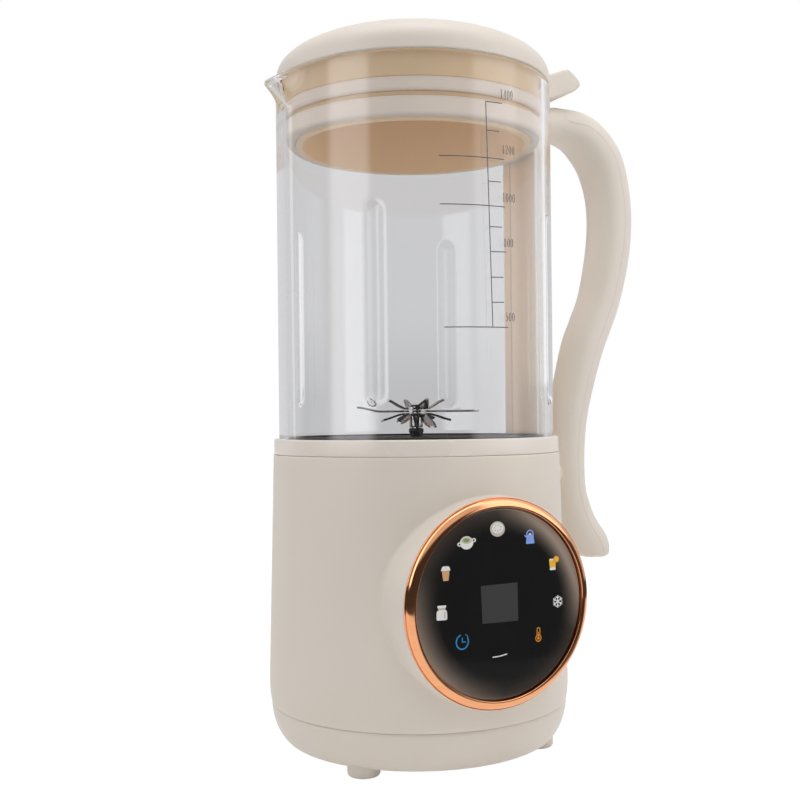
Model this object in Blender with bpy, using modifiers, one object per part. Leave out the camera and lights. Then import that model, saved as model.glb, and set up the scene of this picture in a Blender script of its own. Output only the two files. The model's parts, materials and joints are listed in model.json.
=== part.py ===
"""Soy milk maker: a glass cup on a heated motor base, with a lift-off lid and a knife on the motor's shaft.

Metres, +Z up. The control pod faces -Y, the handle stands at +X and the pouring lip at -X. The machine is
modelled about the cup's axis, and one empty then carries it so that the origin is its footprint's middle.
"""

from math import cos, hypot, pi, radians, sin, sqrt

import bmesh
import bpy
from mathutils import Matrix, Vector

# Common clearances and counts
GAP = 0.0003
OVERRUN = 0.004
MERGE = 0.00001
LARGE_STEPS = 40
MIDDLE_STEPS = 28
SMALL_STEPS = 12

# Cup glass
GLASS_R = 0.0605
GLASS_WALL = 0.0035
GLASS_HIGH = 0.1558
FLUTE_RISE = 0.0141
FLUTE_LONG = 0.0840
FLUTE_WIDTH = 0.0140
FLUTE_DEPTH = 0.0024
FLUTE_ANGLES = (45, 135, 225, 315)
SPOUT_OUT = 0.0085
SPOUT_DROP = 0.0078
SPOUT_SPREAD = 0.0170

# Heating plate, gasket and collar at the foot of the glass
PLATE_THICK = 0.0021
PLATE_EDGE = 0.0004
COLLAR_HIGH = 0.0065
COLLAR_WALL = 0.0019
COLLAR_FLOOR = 0.0020
COLLAR_LEDGE = 0.0015
COLLAR_EDGE = 0.0012
GASKET_THICK = 0.0015
GASKET_WIDE = 0.0067
ELEMENT_R = 0.0360
ELEMENT_TUBE_R = 0.0032
ELEMENT_DROP = 0.0060
ELEMENT_OPEN = 20
ELEMENT_TURNS = 18
BUSH_R = 0.0070
BUSH_HIGH = 0.0145
PROBE_R = 0.0035
PROBE_HIGH = 0.0090
PROBE_Y = 0.0180
SWITCH_R = 0.0080
SWITCH_HIGH = 0.0070
SWITCH_X = 0.0190

# Base shell, bottom cover and feet
UNDERSIDE_Z = 0.0040
COVER_HIGH = 0.0166
SHELL_OVER = 0.0158
BELLY_RISE = 0.0091
BASE_STEP = 0.0003
BASE_DRAFT = 0.0027
SEAM_STEP = 0.0009
TOE_STEP = 0.0088
BASE_WALL = 0.0024
COVER_FULLNESS = 1.75
COVER_THICK = 0.0022
TONGUE_HIGH = 0.0055
TONGUE_THICK = 0.0014
FOOT_R = 0.0067
FOOT_HIGH = 0.0083
FOOT_ROUND = 0.0020
FOOT_INSET = 0.0036
FOOT_ANGLE = 37.6
FOOT_BOSS_WALL = 0.0020
VENT_COUNT = 10
VENT_WIDTH = 0.0030
VENT_LONG = 0.0150
VENT_R = 0.0280

# Control pod, ring and panel
POD_R = 0.0414
POD_RISE = 0.0087
POD_PROUD = 0.0034
POD_BITE = 0.0007
POD_WALL = 0.0026
POD_STRAIGHT = 0.0050
POD_FLARE = 0.0004
LIP_WIDE = 0.0030
LIP_THICK = 0.0022
RING_THICK = 0.0032
RING_WIDE = 0.0039
RING_BEVEL = 0.0011
PANEL_EDGE = 0.0014
PANEL_CROWN = 0.0010
BOARD_THICK = 0.0016
DISPLAY_SIDE = 0.0160

# Power inlet at the rear
INLET_WIDE = 0.0270
INLET_HIGH = 0.0200
INLET_DEEP = 0.0200
INLET_RISE = 0.0176
INLET_SET = 0.0021
SOCKET_WIDE = 0.0230
SOCKET_HIGH = 0.0156
SOCKET_DEEP = 0.0150
PIN_LONG = 0.0125
PIN_WIDE = 0.0020
PIN_HIGH = 0.0040
PIN_SPREAD = 0.0070
PIN_OFFSET = 0.0020

# Chassis and motor, from the top down
CHASSIS_THICK = 0.0027
CHASSIS_RIM = 0.0026
SHAFT_R = 0.0020
SHAFT_PLAY = 0.0003
BRACKET_LONG = 0.0640
BRACKET_WIDE = 0.0300
BRACKET_THICK = 0.0030
BEARING_R = 0.0080
CRADLE_THICK = 0.0030
CRADLE_WIDE = 0.0240
CRADLE_DEEP = 0.0580
CORE_LONG = 0.0560
CORE_WIDE = 0.0480
CORE_HIGH = 0.0200
CORE_CORNER = 0.0080
CORE_BORE_R = 0.0180
CORE_DROP = 0.0120
AIR_GAP = 0.0005
COIL_R = 0.0235
COIL_HOLE_R = 0.0190
COIL_HIGH = 0.0055
COIL_ROUND = 0.0015
SLOT_COUNT = 12
SLOT_DEEP = 0.0060
SLOT_MOUTH = 0.0016
SLOT_WIDTH = 0.0034
COMMUTATOR_R = 0.0090
COMMUTATOR_HIGH = 0.0090
COMMUTATOR_DROP = 0.0060
COMMUTATOR_BARS = 24
BRUSH_LONG = 0.0150
BRUSH_SIDE = 0.0060
HOLDER_WALL = 0.0020
LOWER_BEARING_R = 0.0060
FAN_R = 0.0270
FAN_THICK = 0.0016
FAN_HUB_R = 0.0070
FAN_HIGH = 0.0100
FAN_DROP = 0.0012
VANE_COUNT = 9
VANE_THICK = 0.0012
SHAFT_TAIL = 0.0015

# Power board beside the motor
POWER_BOARD_LONG = 0.0440
POWER_BOARD_HIGH = 0.0500
POWER_BOARD_SET = 0.0146
CAPACITOR_R = 0.0060
CAPACITOR_LONG = 0.0160
CAPACITOR_Y = 0.0120
RELAY_LONG = 0.0180
RELAY_HIGH = 0.0140
RELAY_THICK = 0.0100

# Knife
SEAL_R = 0.0033
SEAL_HIGH = 0.0037
SPACER_R = 0.0030
SPACER_HIGH = 0.0052
BLADE_THICK = 0.0009
BLADE_HUB_R = 0.0058
LONG_BLADE_R = 0.0273
RISING_BLADE_R = 0.0150
RISING_LIFT = 0.0048
FALLING_BLADE_R = 0.0168
FALLING_LIFT = 0.0052
LONG_TIP_LIFT = 0.0020
LONG_ANGLE = -27
RISING_ANGLE = -2
FALLING_ANGLE = 28
NUT_R = 0.0040
NUT_HIGH = 0.0018
NUT_SIDES = 6

# Lid
LID_STEP = 0.0002
LID_HIGH = 0.0215
LID_RIM = 0.0030
LID_WALL = 0.0023
LID_FULLNESS = 2.2
PLUG_PLAY = 0.0008
PLUG_FLANGE_HIGH = 0.0020
PLUG_CEILING = 0.0022
PLUG_CLEAR = 0.0014
PLUG_GROOVE = 0.0036
PLUG_WALL = 0.0027
SEAL_CLEAR = 0.0004
UPPER_SEAL_DROP = 0.0105
UPPER_SEAL_HIGH = 0.0055
LOWER_SEAL_HIGH = 0.0085
LOWER_SEAL_SIDE = 0.0039
RIB_THICK = 0.0015
RIB_OUT = 0.0026
TAB_WIDE = 0.0210
TAB_LONG = 0.0234
TAB_RISE = 0.0170
TAB_ROUND = 0.0012
MAGNET_R = 0.0029
MAGNET_HIGH = 0.0030
MAGNET_OUT = 0.0055

# Handle, its strip on the glass and its boss on the base
STRIP_THICK = 0.0022
STRIP_ANGLE = 15
STRIP_SHORT = 0.0021
HANDLE_OUT = 0.0436
HANDLE_DROP = 0.0074
HANDLE_HANG = 0.0524
HANDLE_HALF = 0.0109
HANDLE_WIDTH_SHARE = 1.1
HANDLE_RINGS = 30
SEAM_SHIFT = 0.0012
CHANNEL_HIGH = 0.0050
CHANNEL_WIDE = 0.0080
CHANNEL_LONG = 0.0090
REED_LONG = 0.0070
REED_THICK = 0.0024
BOSS_R = 0.0085
BOSS_DROP = 0.0112

# Handle centre line: share of HANDLE_OUT beyond the strip, share of the height from the grip's foot to
# its top, share of HANDLE_HALF
HANDLE_SHARES = (
    (-0.08, 0.998, 0.76),
    (0.30, 1.000, 0.76),
    (0.55, 0.989, 0.91),
    (0.735, 0.961, 0.99),
    (0.887, 0.919, 1.00),
    (0.97, 0.853, 0.97),
    (1.00, 0.782, 0.97),
    (0.95, 0.700, 0.95),
    (0.849, 0.604, 0.91),
    (0.719, 0.537, 0.90),
    (0.609, 0.486, 0.89),
    (0.499, 0.409, 0.86),
    (0.419, 0.342, 0.84),
    (0.389, 0.278, 0.82),
    (0.379, 0.216, 0.81),
    (0.399, 0.152, 0.81),
    (0.499, 0.091, 0.81),
    (0.64, 0.040, 0.83),
    (0.69, 0.017, 0.84),
    (0.70, 0.000, 0.68),
)

# The cover's seam leaves the arm's top and hooks down to the centre line: share of HANDLE_OUT, then height
# above the arm's centre line as a share of HANDLE_HALF
HOOK_SHARES = ((0.20, 1.25), (0.22, 0.73), (0.27, 0.51), (0.295, 0.35), (0.30, 0.16), (0.33, 0.09))

# Thumb tab outline: share of TAB_LONG beyond the lid's side, share of TAB_RISE above the lid's rim
TAB_SHARES = (
    (-0.13, 0.08),
    (0.23, 0.08),
    (0.57, 0.25),
    (0.85, 0.38),
    (0.96, 0.50),
    (1.00, 0.63),
    (0.96, 0.75),
    (0.70, 0.99),
    (0.57, 0.96),
    (0.29, 0.80),
    (-0.27, 0.55),
)

# Blade arms: share of the blade's radius, half width as a share of the hub's radius, share of its lift
LONG_ARM_SHARES = ((0.45, 0.40, 0.0), (0.74, 0.34, 0.0), (0.88, 0.26, 0.0), (1.0, 0.07, 0.0))
BENT_ARM_SHARES = ((0.45, 0.40, 0.0), (0.74, 0.34, 0.0), (0.88, 0.26, 0.8), (1.0, 0.07, 1.0))
POINTED_ARM_SHARES = ((0.50, 0.36, 0.18), (0.80, 0.30, 0.72), (1.0, 0.05, 1.0))
PADDLE_ARM_SHARES = ((0.50, 0.34, 0.18), (0.75, 0.46, 0.62), (0.92, 0.38, 0.90), (1.0, 0.16, 1.0))

# Where the rows and rings of curved forms lie along them
FLUTE_WIDTH_SHARES = (-1, -0.6, -0.25, 0.25, 0.6, 1)
FLUTE_END_SHARES = (0, 0.45, 1)
SPOUT_SHARES = (1, 0.66, 0.33, 0)
BELLY_SHARES = (0, 0.4, 0.7, 1)
FLARE_SHARES = (0.4, 0.7, 1)
CROWN_SHARES = (0, 0.35, 0.65, 0.88, 1)

# Radii worked out from the glass outwards and inwards
GLASS_HOLE_R = GLASS_R - GLASS_WALL
COLLAR_R = GLASS_R + GAP + COLLAR_WALL
BASE_TOP_R = COLLAR_R + BASE_STEP
BELLY_R = BASE_TOP_R + BASE_DRAFT
SEAM_R = BELLY_R - SEAM_STEP
TOE_R = SEAM_R - TOE_STEP
GASKET_HOLE_R = GLASS_R - GAP - GASKET_WIDE
COLLAR_HOLE_R = GASKET_HOLE_R - COLLAR_LEDGE
CHASSIS_R = BASE_TOP_R - BASE_WALL - GAP
SHAFT_HOLE_R = SHAFT_R + SHAFT_PLAY
POD_FRONT = BELLY_R + POD_PROUD
POD_ROOT_R = POD_R + POD_FLARE
POD_DEEP = POD_FRONT - sqrt(BASE_TOP_R ** 2 - POD_ROOT_R ** 2) + POD_BITE
RING_FRONT = POD_FRONT + RING_THICK
RING_HOLE_R = POD_R - RING_WIDE
LIP_R = RING_HOLE_R - LIP_WIDE
INLET_FACE = BELLY_R - INLET_SET
POWER_BOARD_X = BASE_TOP_R - BASE_WALL - POWER_BOARD_SET
LID_R = GLASS_R - LID_STEP
PLUG_FLANGE_R = LID_R - LID_WALL - PLUG_PLAY
PLUG_R = GLASS_HOLE_R - PLUG_CLEAR
PLUG_NECK_R = PLUG_R - PLUG_GROOVE
PLUG_HOLE_R = PLUG_NECK_R - PLUG_WALL
RIB_R = PLUG_NECK_R + RIB_OUT
SEAL_LIP_R = GLASS_HOLE_R - SEAL_CLEAR
MAGNET_X = LID_R + MAGNET_OUT
STRIP_HOLE_R = GLASS_R + GAP
STRIP_R = STRIP_HOLE_R + STRIP_THICK

# Heights worked out from the floor up
COVER_FLOOR = UNDERSIDE_Z + COVER_THICK
COVER_TOP = UNDERSIDE_Z + COVER_HIGH
SEAM_Z = COVER_TOP + GAP
BELLY_Z = SEAM_Z + BELLY_RISE
POD_Z = SEAM_Z + POD_RISE + POD_R
INLET_Z = SEAM_Z + INLET_RISE
BASE_TOP = POD_Z + POD_R + SHELL_OVER
COLLAR_Z = BASE_TOP + GAP
PLATE_TOP = COLLAR_Z + COLLAR_HIGH
PLATE_LOW = PLATE_TOP - PLATE_THICK
GLASS_LOW = PLATE_LOW
GLASS_TOP = GLASS_LOW + GLASS_HIGH
FLUTE_LOW = GLASS_LOW + FLUTE_RISE
FLUTE_HIGH = FLUTE_LOW + FLUTE_LONG
LID_LOW = GLASS_TOP + GAP
LID_TOP = LID_LOW + LID_HIGH
UPPER_SEAL_TOP = LID_LOW - UPPER_SEAL_DROP
UPPER_SEAL_LOW = UPPER_SEAL_TOP - UPPER_SEAL_HIGH
LOWER_SEAL_TOP = UPPER_SEAL_LOW - RIB_THICK - 2 * GAP
LOWER_SEAL_WAIST = LOWER_SEAL_TOP - LOWER_SEAL_SIDE
PLUG_LOW = LOWER_SEAL_TOP - LOWER_SEAL_HIGH
STRIP_TOP = GLASS_TOP - STRIP_SHORT
HANDLE_TOP = GLASS_TOP - HANDLE_DROP
HANDLE_FOOT = BASE_TOP - HANDLE_HANG
BOSS_Z = BASE_TOP - BOSS_DROP

# Heights worked out downwards from the heating plate
BUSH_LOW = PLATE_LOW - GAP - BUSH_HIGH
CHASSIS_TOP = BUSH_LOW - GAP
CHASSIS_LOW = CHASSIS_TOP - CHASSIS_THICK
BRACKET_TOP = CHASSIS_LOW - GAP
BRACKET_LOW = BRACKET_TOP - BRACKET_THICK
CRADLE_TOP = BRACKET_LOW - GAP
CRADLE_LOW = CRADLE_TOP - CRADLE_DEEP
CORE_TOP = CRADLE_TOP - CORE_DROP
CORE_LOW = CORE_TOP - CORE_HIGH
COMMUTATOR_TOP = CORE_LOW - COMMUTATOR_DROP
COMMUTATOR_LOW = COMMUTATOR_TOP - COMMUTATOR_HIGH
BRUSH_Z = (COMMUTATOR_TOP + COMMUTATOR_LOW) / 2
FAN_TOP = CRADLE_LOW - FAN_DROP
FAN_LOW = FAN_TOP - FAN_HIGH

# Heights of the knife above the heating plate
SEAL_TOP = PLATE_TOP + GAP + SEAL_HIGH
SPACER_TOP = SEAL_TOP + GAP + SPACER_HIGH
FALLING_Z = SPACER_TOP + GAP
LONG_Z = FALLING_Z + BLADE_THICK + GAP
RISING_Z = LONG_Z + BLADE_THICK + GAP
NUT_LOW = RISING_Z + BLADE_THICK + GAP

# The colours, roughness and metal of each finish
FINISHES = {
    "cream_plastic": ((0.74, 0.67, 0.57), 0.45, 0.0),
    "collar_plastic": ((0.77, 0.71, 0.63), 0.25, 0.0),
    "plug_plastic": ((0.70, 0.58, 0.43), 0.40, 0.0),
    "clear_glass": ((0.93, 0.96, 0.96), 0.03, 0.0),
    "panel_glass": ((0.015, 0.015, 0.015), 0.08, 0.0),
    "display_glass": ((0.05, 0.05, 0.05), 0.15, 0.0),
    "copper_plating": ((0.90, 0.46, 0.27), 0.18, 1.0),
    "silicone": ((0.80, 0.76, 0.70), 0.55, 0.0),
    "dark_rubber": ((0.03, 0.03, 0.03), 0.60, 0.0),
    "ferrite": ((0.05, 0.05, 0.05), 0.50, 0.0),
    "knife_steel": ((0.62, 0.62, 0.61), 0.18, 1.0),
    "plate_steel": ((0.30, 0.30, 0.31), 0.28, 1.0),
    "zinc_steel": ((0.55, 0.56, 0.57), 0.40, 1.0),
    "copper_wire": ((0.72, 0.30, 0.12), 0.35, 1.0),
    "bronze": ((0.55, 0.38, 0.18), 0.35, 1.0),
    "carbon": ((0.02, 0.02, 0.02), 0.70, 0.0),
    "circuit_board": ((0.04, 0.22, 0.09), 0.50, 0.0),
    "black_plastic": ((0.03, 0.03, 0.03), 0.45, 0.0),
}

for leftover in list(bpy.data.objects):
    bpy.data.objects.remove(leftover)

scene_root = bpy.context.scene.collection
parts = bpy.data.collections.new("soy_milk_maker")
cutters = bpy.data.collections.new("cutters")
scene_root.children.link(parts)
scene_root.children.link(cutters)

column = bpy.data.objects.new("cup_axis", None)
parts.objects.link(column)


def make_finish(name, colour, roughness, metallic):
    finish = bpy.data.materials.new(name)
    finish.use_nodes = True
    shader = finish.node_tree.nodes["Principled BSDF"]
    shader.inputs["Base Color"].default_value = (*colour, 1)
    shader.inputs["Roughness"].default_value = roughness
    shader.inputs["Metallic"].default_value = metallic
    if name == "clear_glass":
        shader.inputs["Transmission Weight"].default_value = 1
    return finish


finishes = {name: make_finish(name, *values) for name, values in FINISHES.items()}


def place(name, mesh, finish=None):
    """Links a mesh as one named piece on the cup's axis. A piece without a finish is a cutter."""
    piece = bpy.data.objects.new(name, mesh)
    piece.parent = column
    if finish:
        parts.objects.link(piece)
        mesh.materials.append(finishes[finish])
    else:
        cutters.objects.link(piece)
        piece.hide_render = True
        piece.display_type = "WIRE"
    return piece


def turned(name, profile, finish=None, steps=LARGE_STEPS):
    """Turns (radius, height) points about Z. They run down the outer side.

    The outline closes on itself unless it ends on the axis.
    """
    mesh = bpy.data.meshes.new(name)
    corners = [(radius, 0, height) for radius, height in profile]
    edges = [(i, i + 1) for i in range(len(corners) - 1)]
    if profile[-1][0] > 0:
        edges.append((len(corners) - 1, 0))
    mesh.from_pydata(corners, edges, [])
    piece = place(name, mesh, finish)
    screw = piece.modifiers.new("turn", "SCREW")
    screw.steps = steps
    screw.render_steps = steps
    screw.use_merge_vertices = True
    screw.merge_threshold = MERGE
    return piece


def ring(name, hole, outer, low, high, finish=None, steps=MIDDLE_STEPS):
    return turned(name, [(outer, high), (outer, low), (hole, low), (hole, high)], finish, steps)


def rod(name, radius, low, high, finish=None, steps=SMALL_STEPS):
    return turned(name, [(0, high), (radius, high), (radius, low), (0, low)], finish, steps)


def box(name, size, centre, finish=None, rounding=0):
    """A box of the given (x, y, z) size, with its edges bevelled where a rounding is given."""
    shape = bmesh.new()
    bmesh.ops.create_cube(shape, size=1)
    bmesh.ops.scale(shape, vec=size, verts=shape.verts)
    mesh = bpy.data.meshes.new(name)
    shape.to_mesh(mesh)
    shape.free()
    piece = place(name, mesh, finish)
    piece.location = centre
    if rounding:
        bevel = piece.modifiers.new("rounding", "BEVEL")
        bevel.width = rounding
        bevel.segments = 1
    return piece


def mesh_of(curve_piece):
    """The evaluated mesh of a curve, with its caps welded to its sides."""
    bpy.context.view_layer.update()
    graph = bpy.context.evaluated_depsgraph_get()
    mesh = bpy.data.meshes.new_from_object(curve_piece.evaluated_get(graph))
    shape = bmesh.new()
    shape.from_mesh(mesh)
    bmesh.ops.remove_doubles(shape, verts=shape.verts, dist=MERGE)
    bmesh.ops.recalc_face_normals(shape, faces=shape.faces)
    shape.to_mesh(mesh)
    shape.free()
    mesh.materials.clear()
    return mesh


def plate(name, outlines, thickness, finish=None):
    """A flat outline in XY, with holes as further outlines, extruded half the thickness each way along Z."""
    flat = bpy.data.curves.new(name, "CURVE")
    flat.dimensions = "2D"
    flat.fill_mode = "BOTH"
    flat.extrude = thickness / 2
    for outline in outlines:
        spline = flat.splines.new("POLY")
        spline.points.add(len(outline) - 1)
        for point, (x, y) in zip(spline.points, outline):
            point.co = (x, y, 0, 1)
        spline.use_cyclic_u = True
    guide = bpy.data.objects.new(name + "_outline", flat)
    cutters.objects.link(guide)
    mesh = mesh_of(guide)
    bpy.data.objects.remove(guide)
    return place(name, mesh, finish)


def upright(piece, x=0, y=0, z=0):
    """Stands a plate drawn in XY up in the XZ plane."""
    piece.rotation_euler = (pi / 2, 0, 0)
    piece.location = (x, y, z)
    return piece


def boolean(piece, other, operation="DIFFERENCE"):
    step = piece.modifiers.new(other.name, "BOOLEAN")
    step.operation = operation
    step.object = other


def circle(radius, steps, centre=(0, 0)):
    angles = [2 * pi * i / steps for i in range(steps)]
    return [(centre[0] + radius * cos(a), centre[1] + radius * sin(a)) for a in angles]


def rounded_box(long, wide, corner, steps=4):
    """The outline of a rectangle with quarter-circle corners."""
    outline = []
    for quarter, (sx, sy) in enumerate(((1, 1), (-1, 1), (-1, -1), (1, -1))):
        for i in range(steps + 1):
            angle = (quarter + i / steps) * pi / 2
            x = sx * (long / 2 - corner) + corner * cos(angle)
            y = sy * (wide / 2 - corner) + corner * sin(angle)
            outline.append((x, y))
    return outline


def through(points, count):
    """Count + 1 points evenly spaced in parameter along the Catmull-Rom curve through the given points."""
    last = len(points) - 1
    found = []
    for i in range(count + 1):
        at = last * i / count
        k = min(int(at), last - 1)
        t = at - k
        before, start = Vector(points[max(k - 1, 0)]), Vector(points[k])
        end, after = Vector(points[k + 1]), Vector(points[min(k + 2, last)])
        bend = 2 * before - 5 * start + 4 * end - after
        twist = 3 * start - before - 3 * end + after
        found.append(start + ((end - before) * t + bend * t * t + twist * t ** 3) / 2)
    return found


def quarter_curve(outer, inner, steps, fullness):
    """Points of a superellipse quarter, from outer (its side) to inner (its toe or crown)."""
    points = []
    for i in range(steps + 1):
        angle = pi / 2 * i / steps
        across = cos(angle) ** (2 / fullness) if i < steps else 0
        along = sin(angle) ** (2 / fullness)
        radius = inner[0] + (outer[0] - inner[0]) * across
        points.append((radius, outer[1] + (inner[1] - outer[1]) * along))
    return points


# Cup

def bump(distance, half_width):
    """A smooth rise from 0 at half_width to 1 at distance 0."""
    share = min(abs(distance) / half_width, 1)
    return (1 + cos(pi * share)) / 2


def cup_radius(angle, height):
    """The glass's outer radius: a cylinder, pressed in at the flutes and drawn out at the lip."""
    radius = GLASS_R
    middle = (FLUTE_LOW + FLUTE_HIGH) / 2
    straight = (FLUTE_HIGH - FLUTE_LOW) / 2 - FLUTE_WIDTH / 2
    past = max(abs(height - middle) - straight, 0)
    for flute in FLUTE_ANGLES:
        turn = (angle - radians(flute) + pi) % (2 * pi) - pi
        radius -= FLUTE_DEPTH * bump(hypot(turn * GLASS_R, past), FLUTE_WIDTH / 2)
    turn = (angle - pi + pi) % (2 * pi) - pi
    rise = max(height - (GLASS_TOP - SPOUT_DROP), 0) / SPOUT_DROP
    return radius + SPOUT_OUT * rise ** 2 * bump(turn * GLASS_R, SPOUT_SPREAD)


def cup_angles():
    """Angles of the glass's columns, closest at the flutes and at the lip."""
    half = FLUTE_WIDTH / 2 / GLASS_R
    angles = []
    for flute in FLUTE_ANGLES:
        angles += [radians(flute) + half * share for share in FLUTE_WIDTH_SHARES]
    gap = pi / 2 - 2 * half
    for flute in FLUTE_ANGLES:
        start = radians(flute) + half
        fine = flute == FLUTE_ANGLES[1]
        count = 12 if fine else 8
        angles += [start + gap * i / count for i in range(1, count)]
    return sorted(angle % (2 * pi) for angle in angles)


def cup_heights():
    end = FLUTE_WIDTH / 2
    heights = [GLASS_LOW]
    heights += [FLUTE_LOW + end * share for share in FLUTE_END_SHARES]
    heights += [FLUTE_HIGH - end * share for share in FLUTE_END_SHARES[::-1]]
    heights += [GLASS_TOP - SPOUT_DROP * share for share in SPOUT_SHARES]
    return heights


def make_cup():
    """The glass is a flat grid wrapped round twice: up the outside of the wall and down its inside."""
    angles, heights = cup_angles(), cup_heights()
    rows = [(height, 0) for height in heights] + [(height, GLASS_WALL) for height in heights[::-1]]
    shape = bmesh.new()
    bmesh.ops.create_grid(shape, x_segments=len(angles), y_segments=len(rows), size=1)
    for vertex in shape.verts:
        column_at = round((vertex.co.x + 1) / 2 * len(angles))
        row_at = round((vertex.co.y + 1) / 2 * len(rows))
        angle = angles[column_at % len(angles)]
        height, inset = rows[row_at % len(rows)]
        radius = cup_radius(angle, height) - inset
        vertex.co = (radius * cos(angle), radius * sin(angle), height)
    bmesh.ops.remove_doubles(shape, verts=shape.verts, dist=MERGE)
    mesh = bpy.data.meshes.new("jar_glass")
    shape.to_mesh(mesh)
    shape.free()
    mesh.shade_smooth()
    mesh.set_sharp_from_angle(angle=radians(40))
    place("jar_glass", mesh, "clear_glass")


# Heating plate and what lies under it

def make_cup_foot():
    foot_r = GLASS_HOLE_R - GAP
    plate_profile = [
        (SHAFT_HOLE_R, PLATE_TOP),
        (foot_r - PLATE_EDGE, PLATE_TOP),
        (foot_r, PLATE_TOP - PLATE_EDGE),
        (foot_r, PLATE_LOW),
        (SHAFT_HOLE_R, PLATE_LOW),
    ]
    turned("heating_plate", plate_profile, "plate_steel")
    gasket_top = PLATE_LOW - GAP
    ring("jar_gasket", GASKET_HOLE_R, GLASS_R - GAP, gasket_top - GASKET_THICK, gasket_top, "silicone")
    inside = GLASS_R + GAP
    floor = COLLAR_Z + COLLAR_FLOOR
    collar_profile = [
        (inside, PLATE_TOP),
        (COLLAR_R - COLLAR_EDGE, PLATE_TOP),
        (COLLAR_R - COLLAR_EDGE / 3, PLATE_TOP - COLLAR_EDGE / 3),
        (COLLAR_R, PLATE_TOP - COLLAR_EDGE),
        (COLLAR_R, COLLAR_Z),
        (COLLAR_HOLE_R, COLLAR_Z),
        (COLLAR_HOLE_R, floor),
        (inside, floor),
    ]
    turned("jar_collar", collar_profile, "collar_plastic")
    ring("shaft_bush", SHAFT_HOLE_R, BUSH_R, BUSH_LOW, PLATE_LOW - GAP, "bronze", SMALL_STEPS)
    top = PLATE_LOW - GAP
    probe = rod("temperature_probe", PROBE_R, top - PROBE_HIGH, top, "zinc_steel")
    probe.location = (0, PROBE_Y, 0)
    switch = rod("overheat_switch", SWITCH_R, top - SWITCH_HIGH, top, "black_plastic")
    switch.location = (-SWITCH_X, 0, 0)
    make_element(top - ELEMENT_TUBE_R)


def make_element(height):
    """The heating tube runs nearly round under the plate and turns down at both ends."""
    path = []
    for i in range(ELEMENT_TURNS + 1):
        angle = radians(ELEMENT_OPEN + (360 - 2 * ELEMENT_OPEN) * i / ELEMENT_TURNS)
        path.append((ELEMENT_R * cos(angle), ELEMENT_R * sin(angle), height))
    for end, at in ((path[0], 0), (path[-1], len(path) + 1)):
        low = height - ELEMENT_DROP
        path.insert(at, (end[0] + ELEMENT_TUBE_R, end[1], low))
    path.insert(0, (path[0][0], path[0][1], path[0][2] - ELEMENT_TUBE_R))
    path.append((path[-1][0], path[-1][1], path[-1][2] - ELEMENT_TUBE_R))
    tube = bpy.data.curves.new("heating_ring", "CURVE")
    tube.dimensions = "3D"
    tube.bevel_depth = ELEMENT_TUBE_R
    tube.bevel_resolution = 2
    tube.use_fill_caps = True
    spline = tube.splines.new("POLY")
    spline.points.add(len(path) - 1)
    for point, (x, y, z) in zip(spline.points, path):
        point.co = (x, y, z, 1)
    place("heating_ring", tube, "zinc_steel")


# Base shell with its control pod

def base_profile(inset, top):
    """The base's outer side from its top down to the seam, drawn in by an inset."""
    side = [(BASE_TOP_R - inset, top)]
    for share in BELLY_SHARES:
        radius = BELLY_R - (BELLY_R - SEAM_R) * share ** 2 - inset
        side.append((radius, BELLY_Z - (BELLY_Z - SEAM_Z) * share))
    return side


def facing_front(piece, depth=0):
    """Turns a piece modelled along +Z to face -Y on the pod's axis."""
    piece.rotation_euler = (pi / 2, 0, 0)
    piece.location = (0, -depth, POD_Z)
    return piece


def make_base():
    inner = base_profile(BASE_WALL, BASE_TOP)
    shell = turned("base_shell", base_profile(0, BASE_TOP) + inner[::-1], "cream_plastic")

    pod_profile = [(0, 0), (POD_R, 0), (POD_R, -POD_STRAIGHT)]
    flare_long = POD_DEEP - POD_STRAIGHT
    for share in FLARE_SHARES:
        pod_profile.append((POD_R + POD_FLARE * share ** 2, -POD_STRAIGHT - flare_long * share))
    pod_profile.append((0, -POD_DEEP))
    pod = facing_front(turned("pod_form", pod_profile), POD_FRONT)
    core = base_profile(BASE_WALL / 2, BASE_TOP + OVERRUN)
    hollow = turned("base_middle", [(0, core[0][1])] + core + [(0, core[-1][1])])
    boolean(pod, hollow)
    boolean(shell, pod, "UNION")

    bore_r = POD_R - POD_WALL
    end = -POD_DEEP - OVERRUN
    bore = [(0, OVERRUN), (LIP_R, OVERRUN), (LIP_R, -LIP_THICK)]
    bore += [(bore_r, -LIP_THICK), (bore_r, end), (0, end)]
    boolean(shell, facing_front(turned("pod_bore", bore, None, MIDDLE_STEPS), POD_FRONT))

    size = (INLET_WIDE + 2 * GAP, INLET_DEEP, INLET_HIGH + 2 * GAP)
    boolean(shell, box("inlet_opening", size, (0, INLET_FACE, INLET_Z)))


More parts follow.
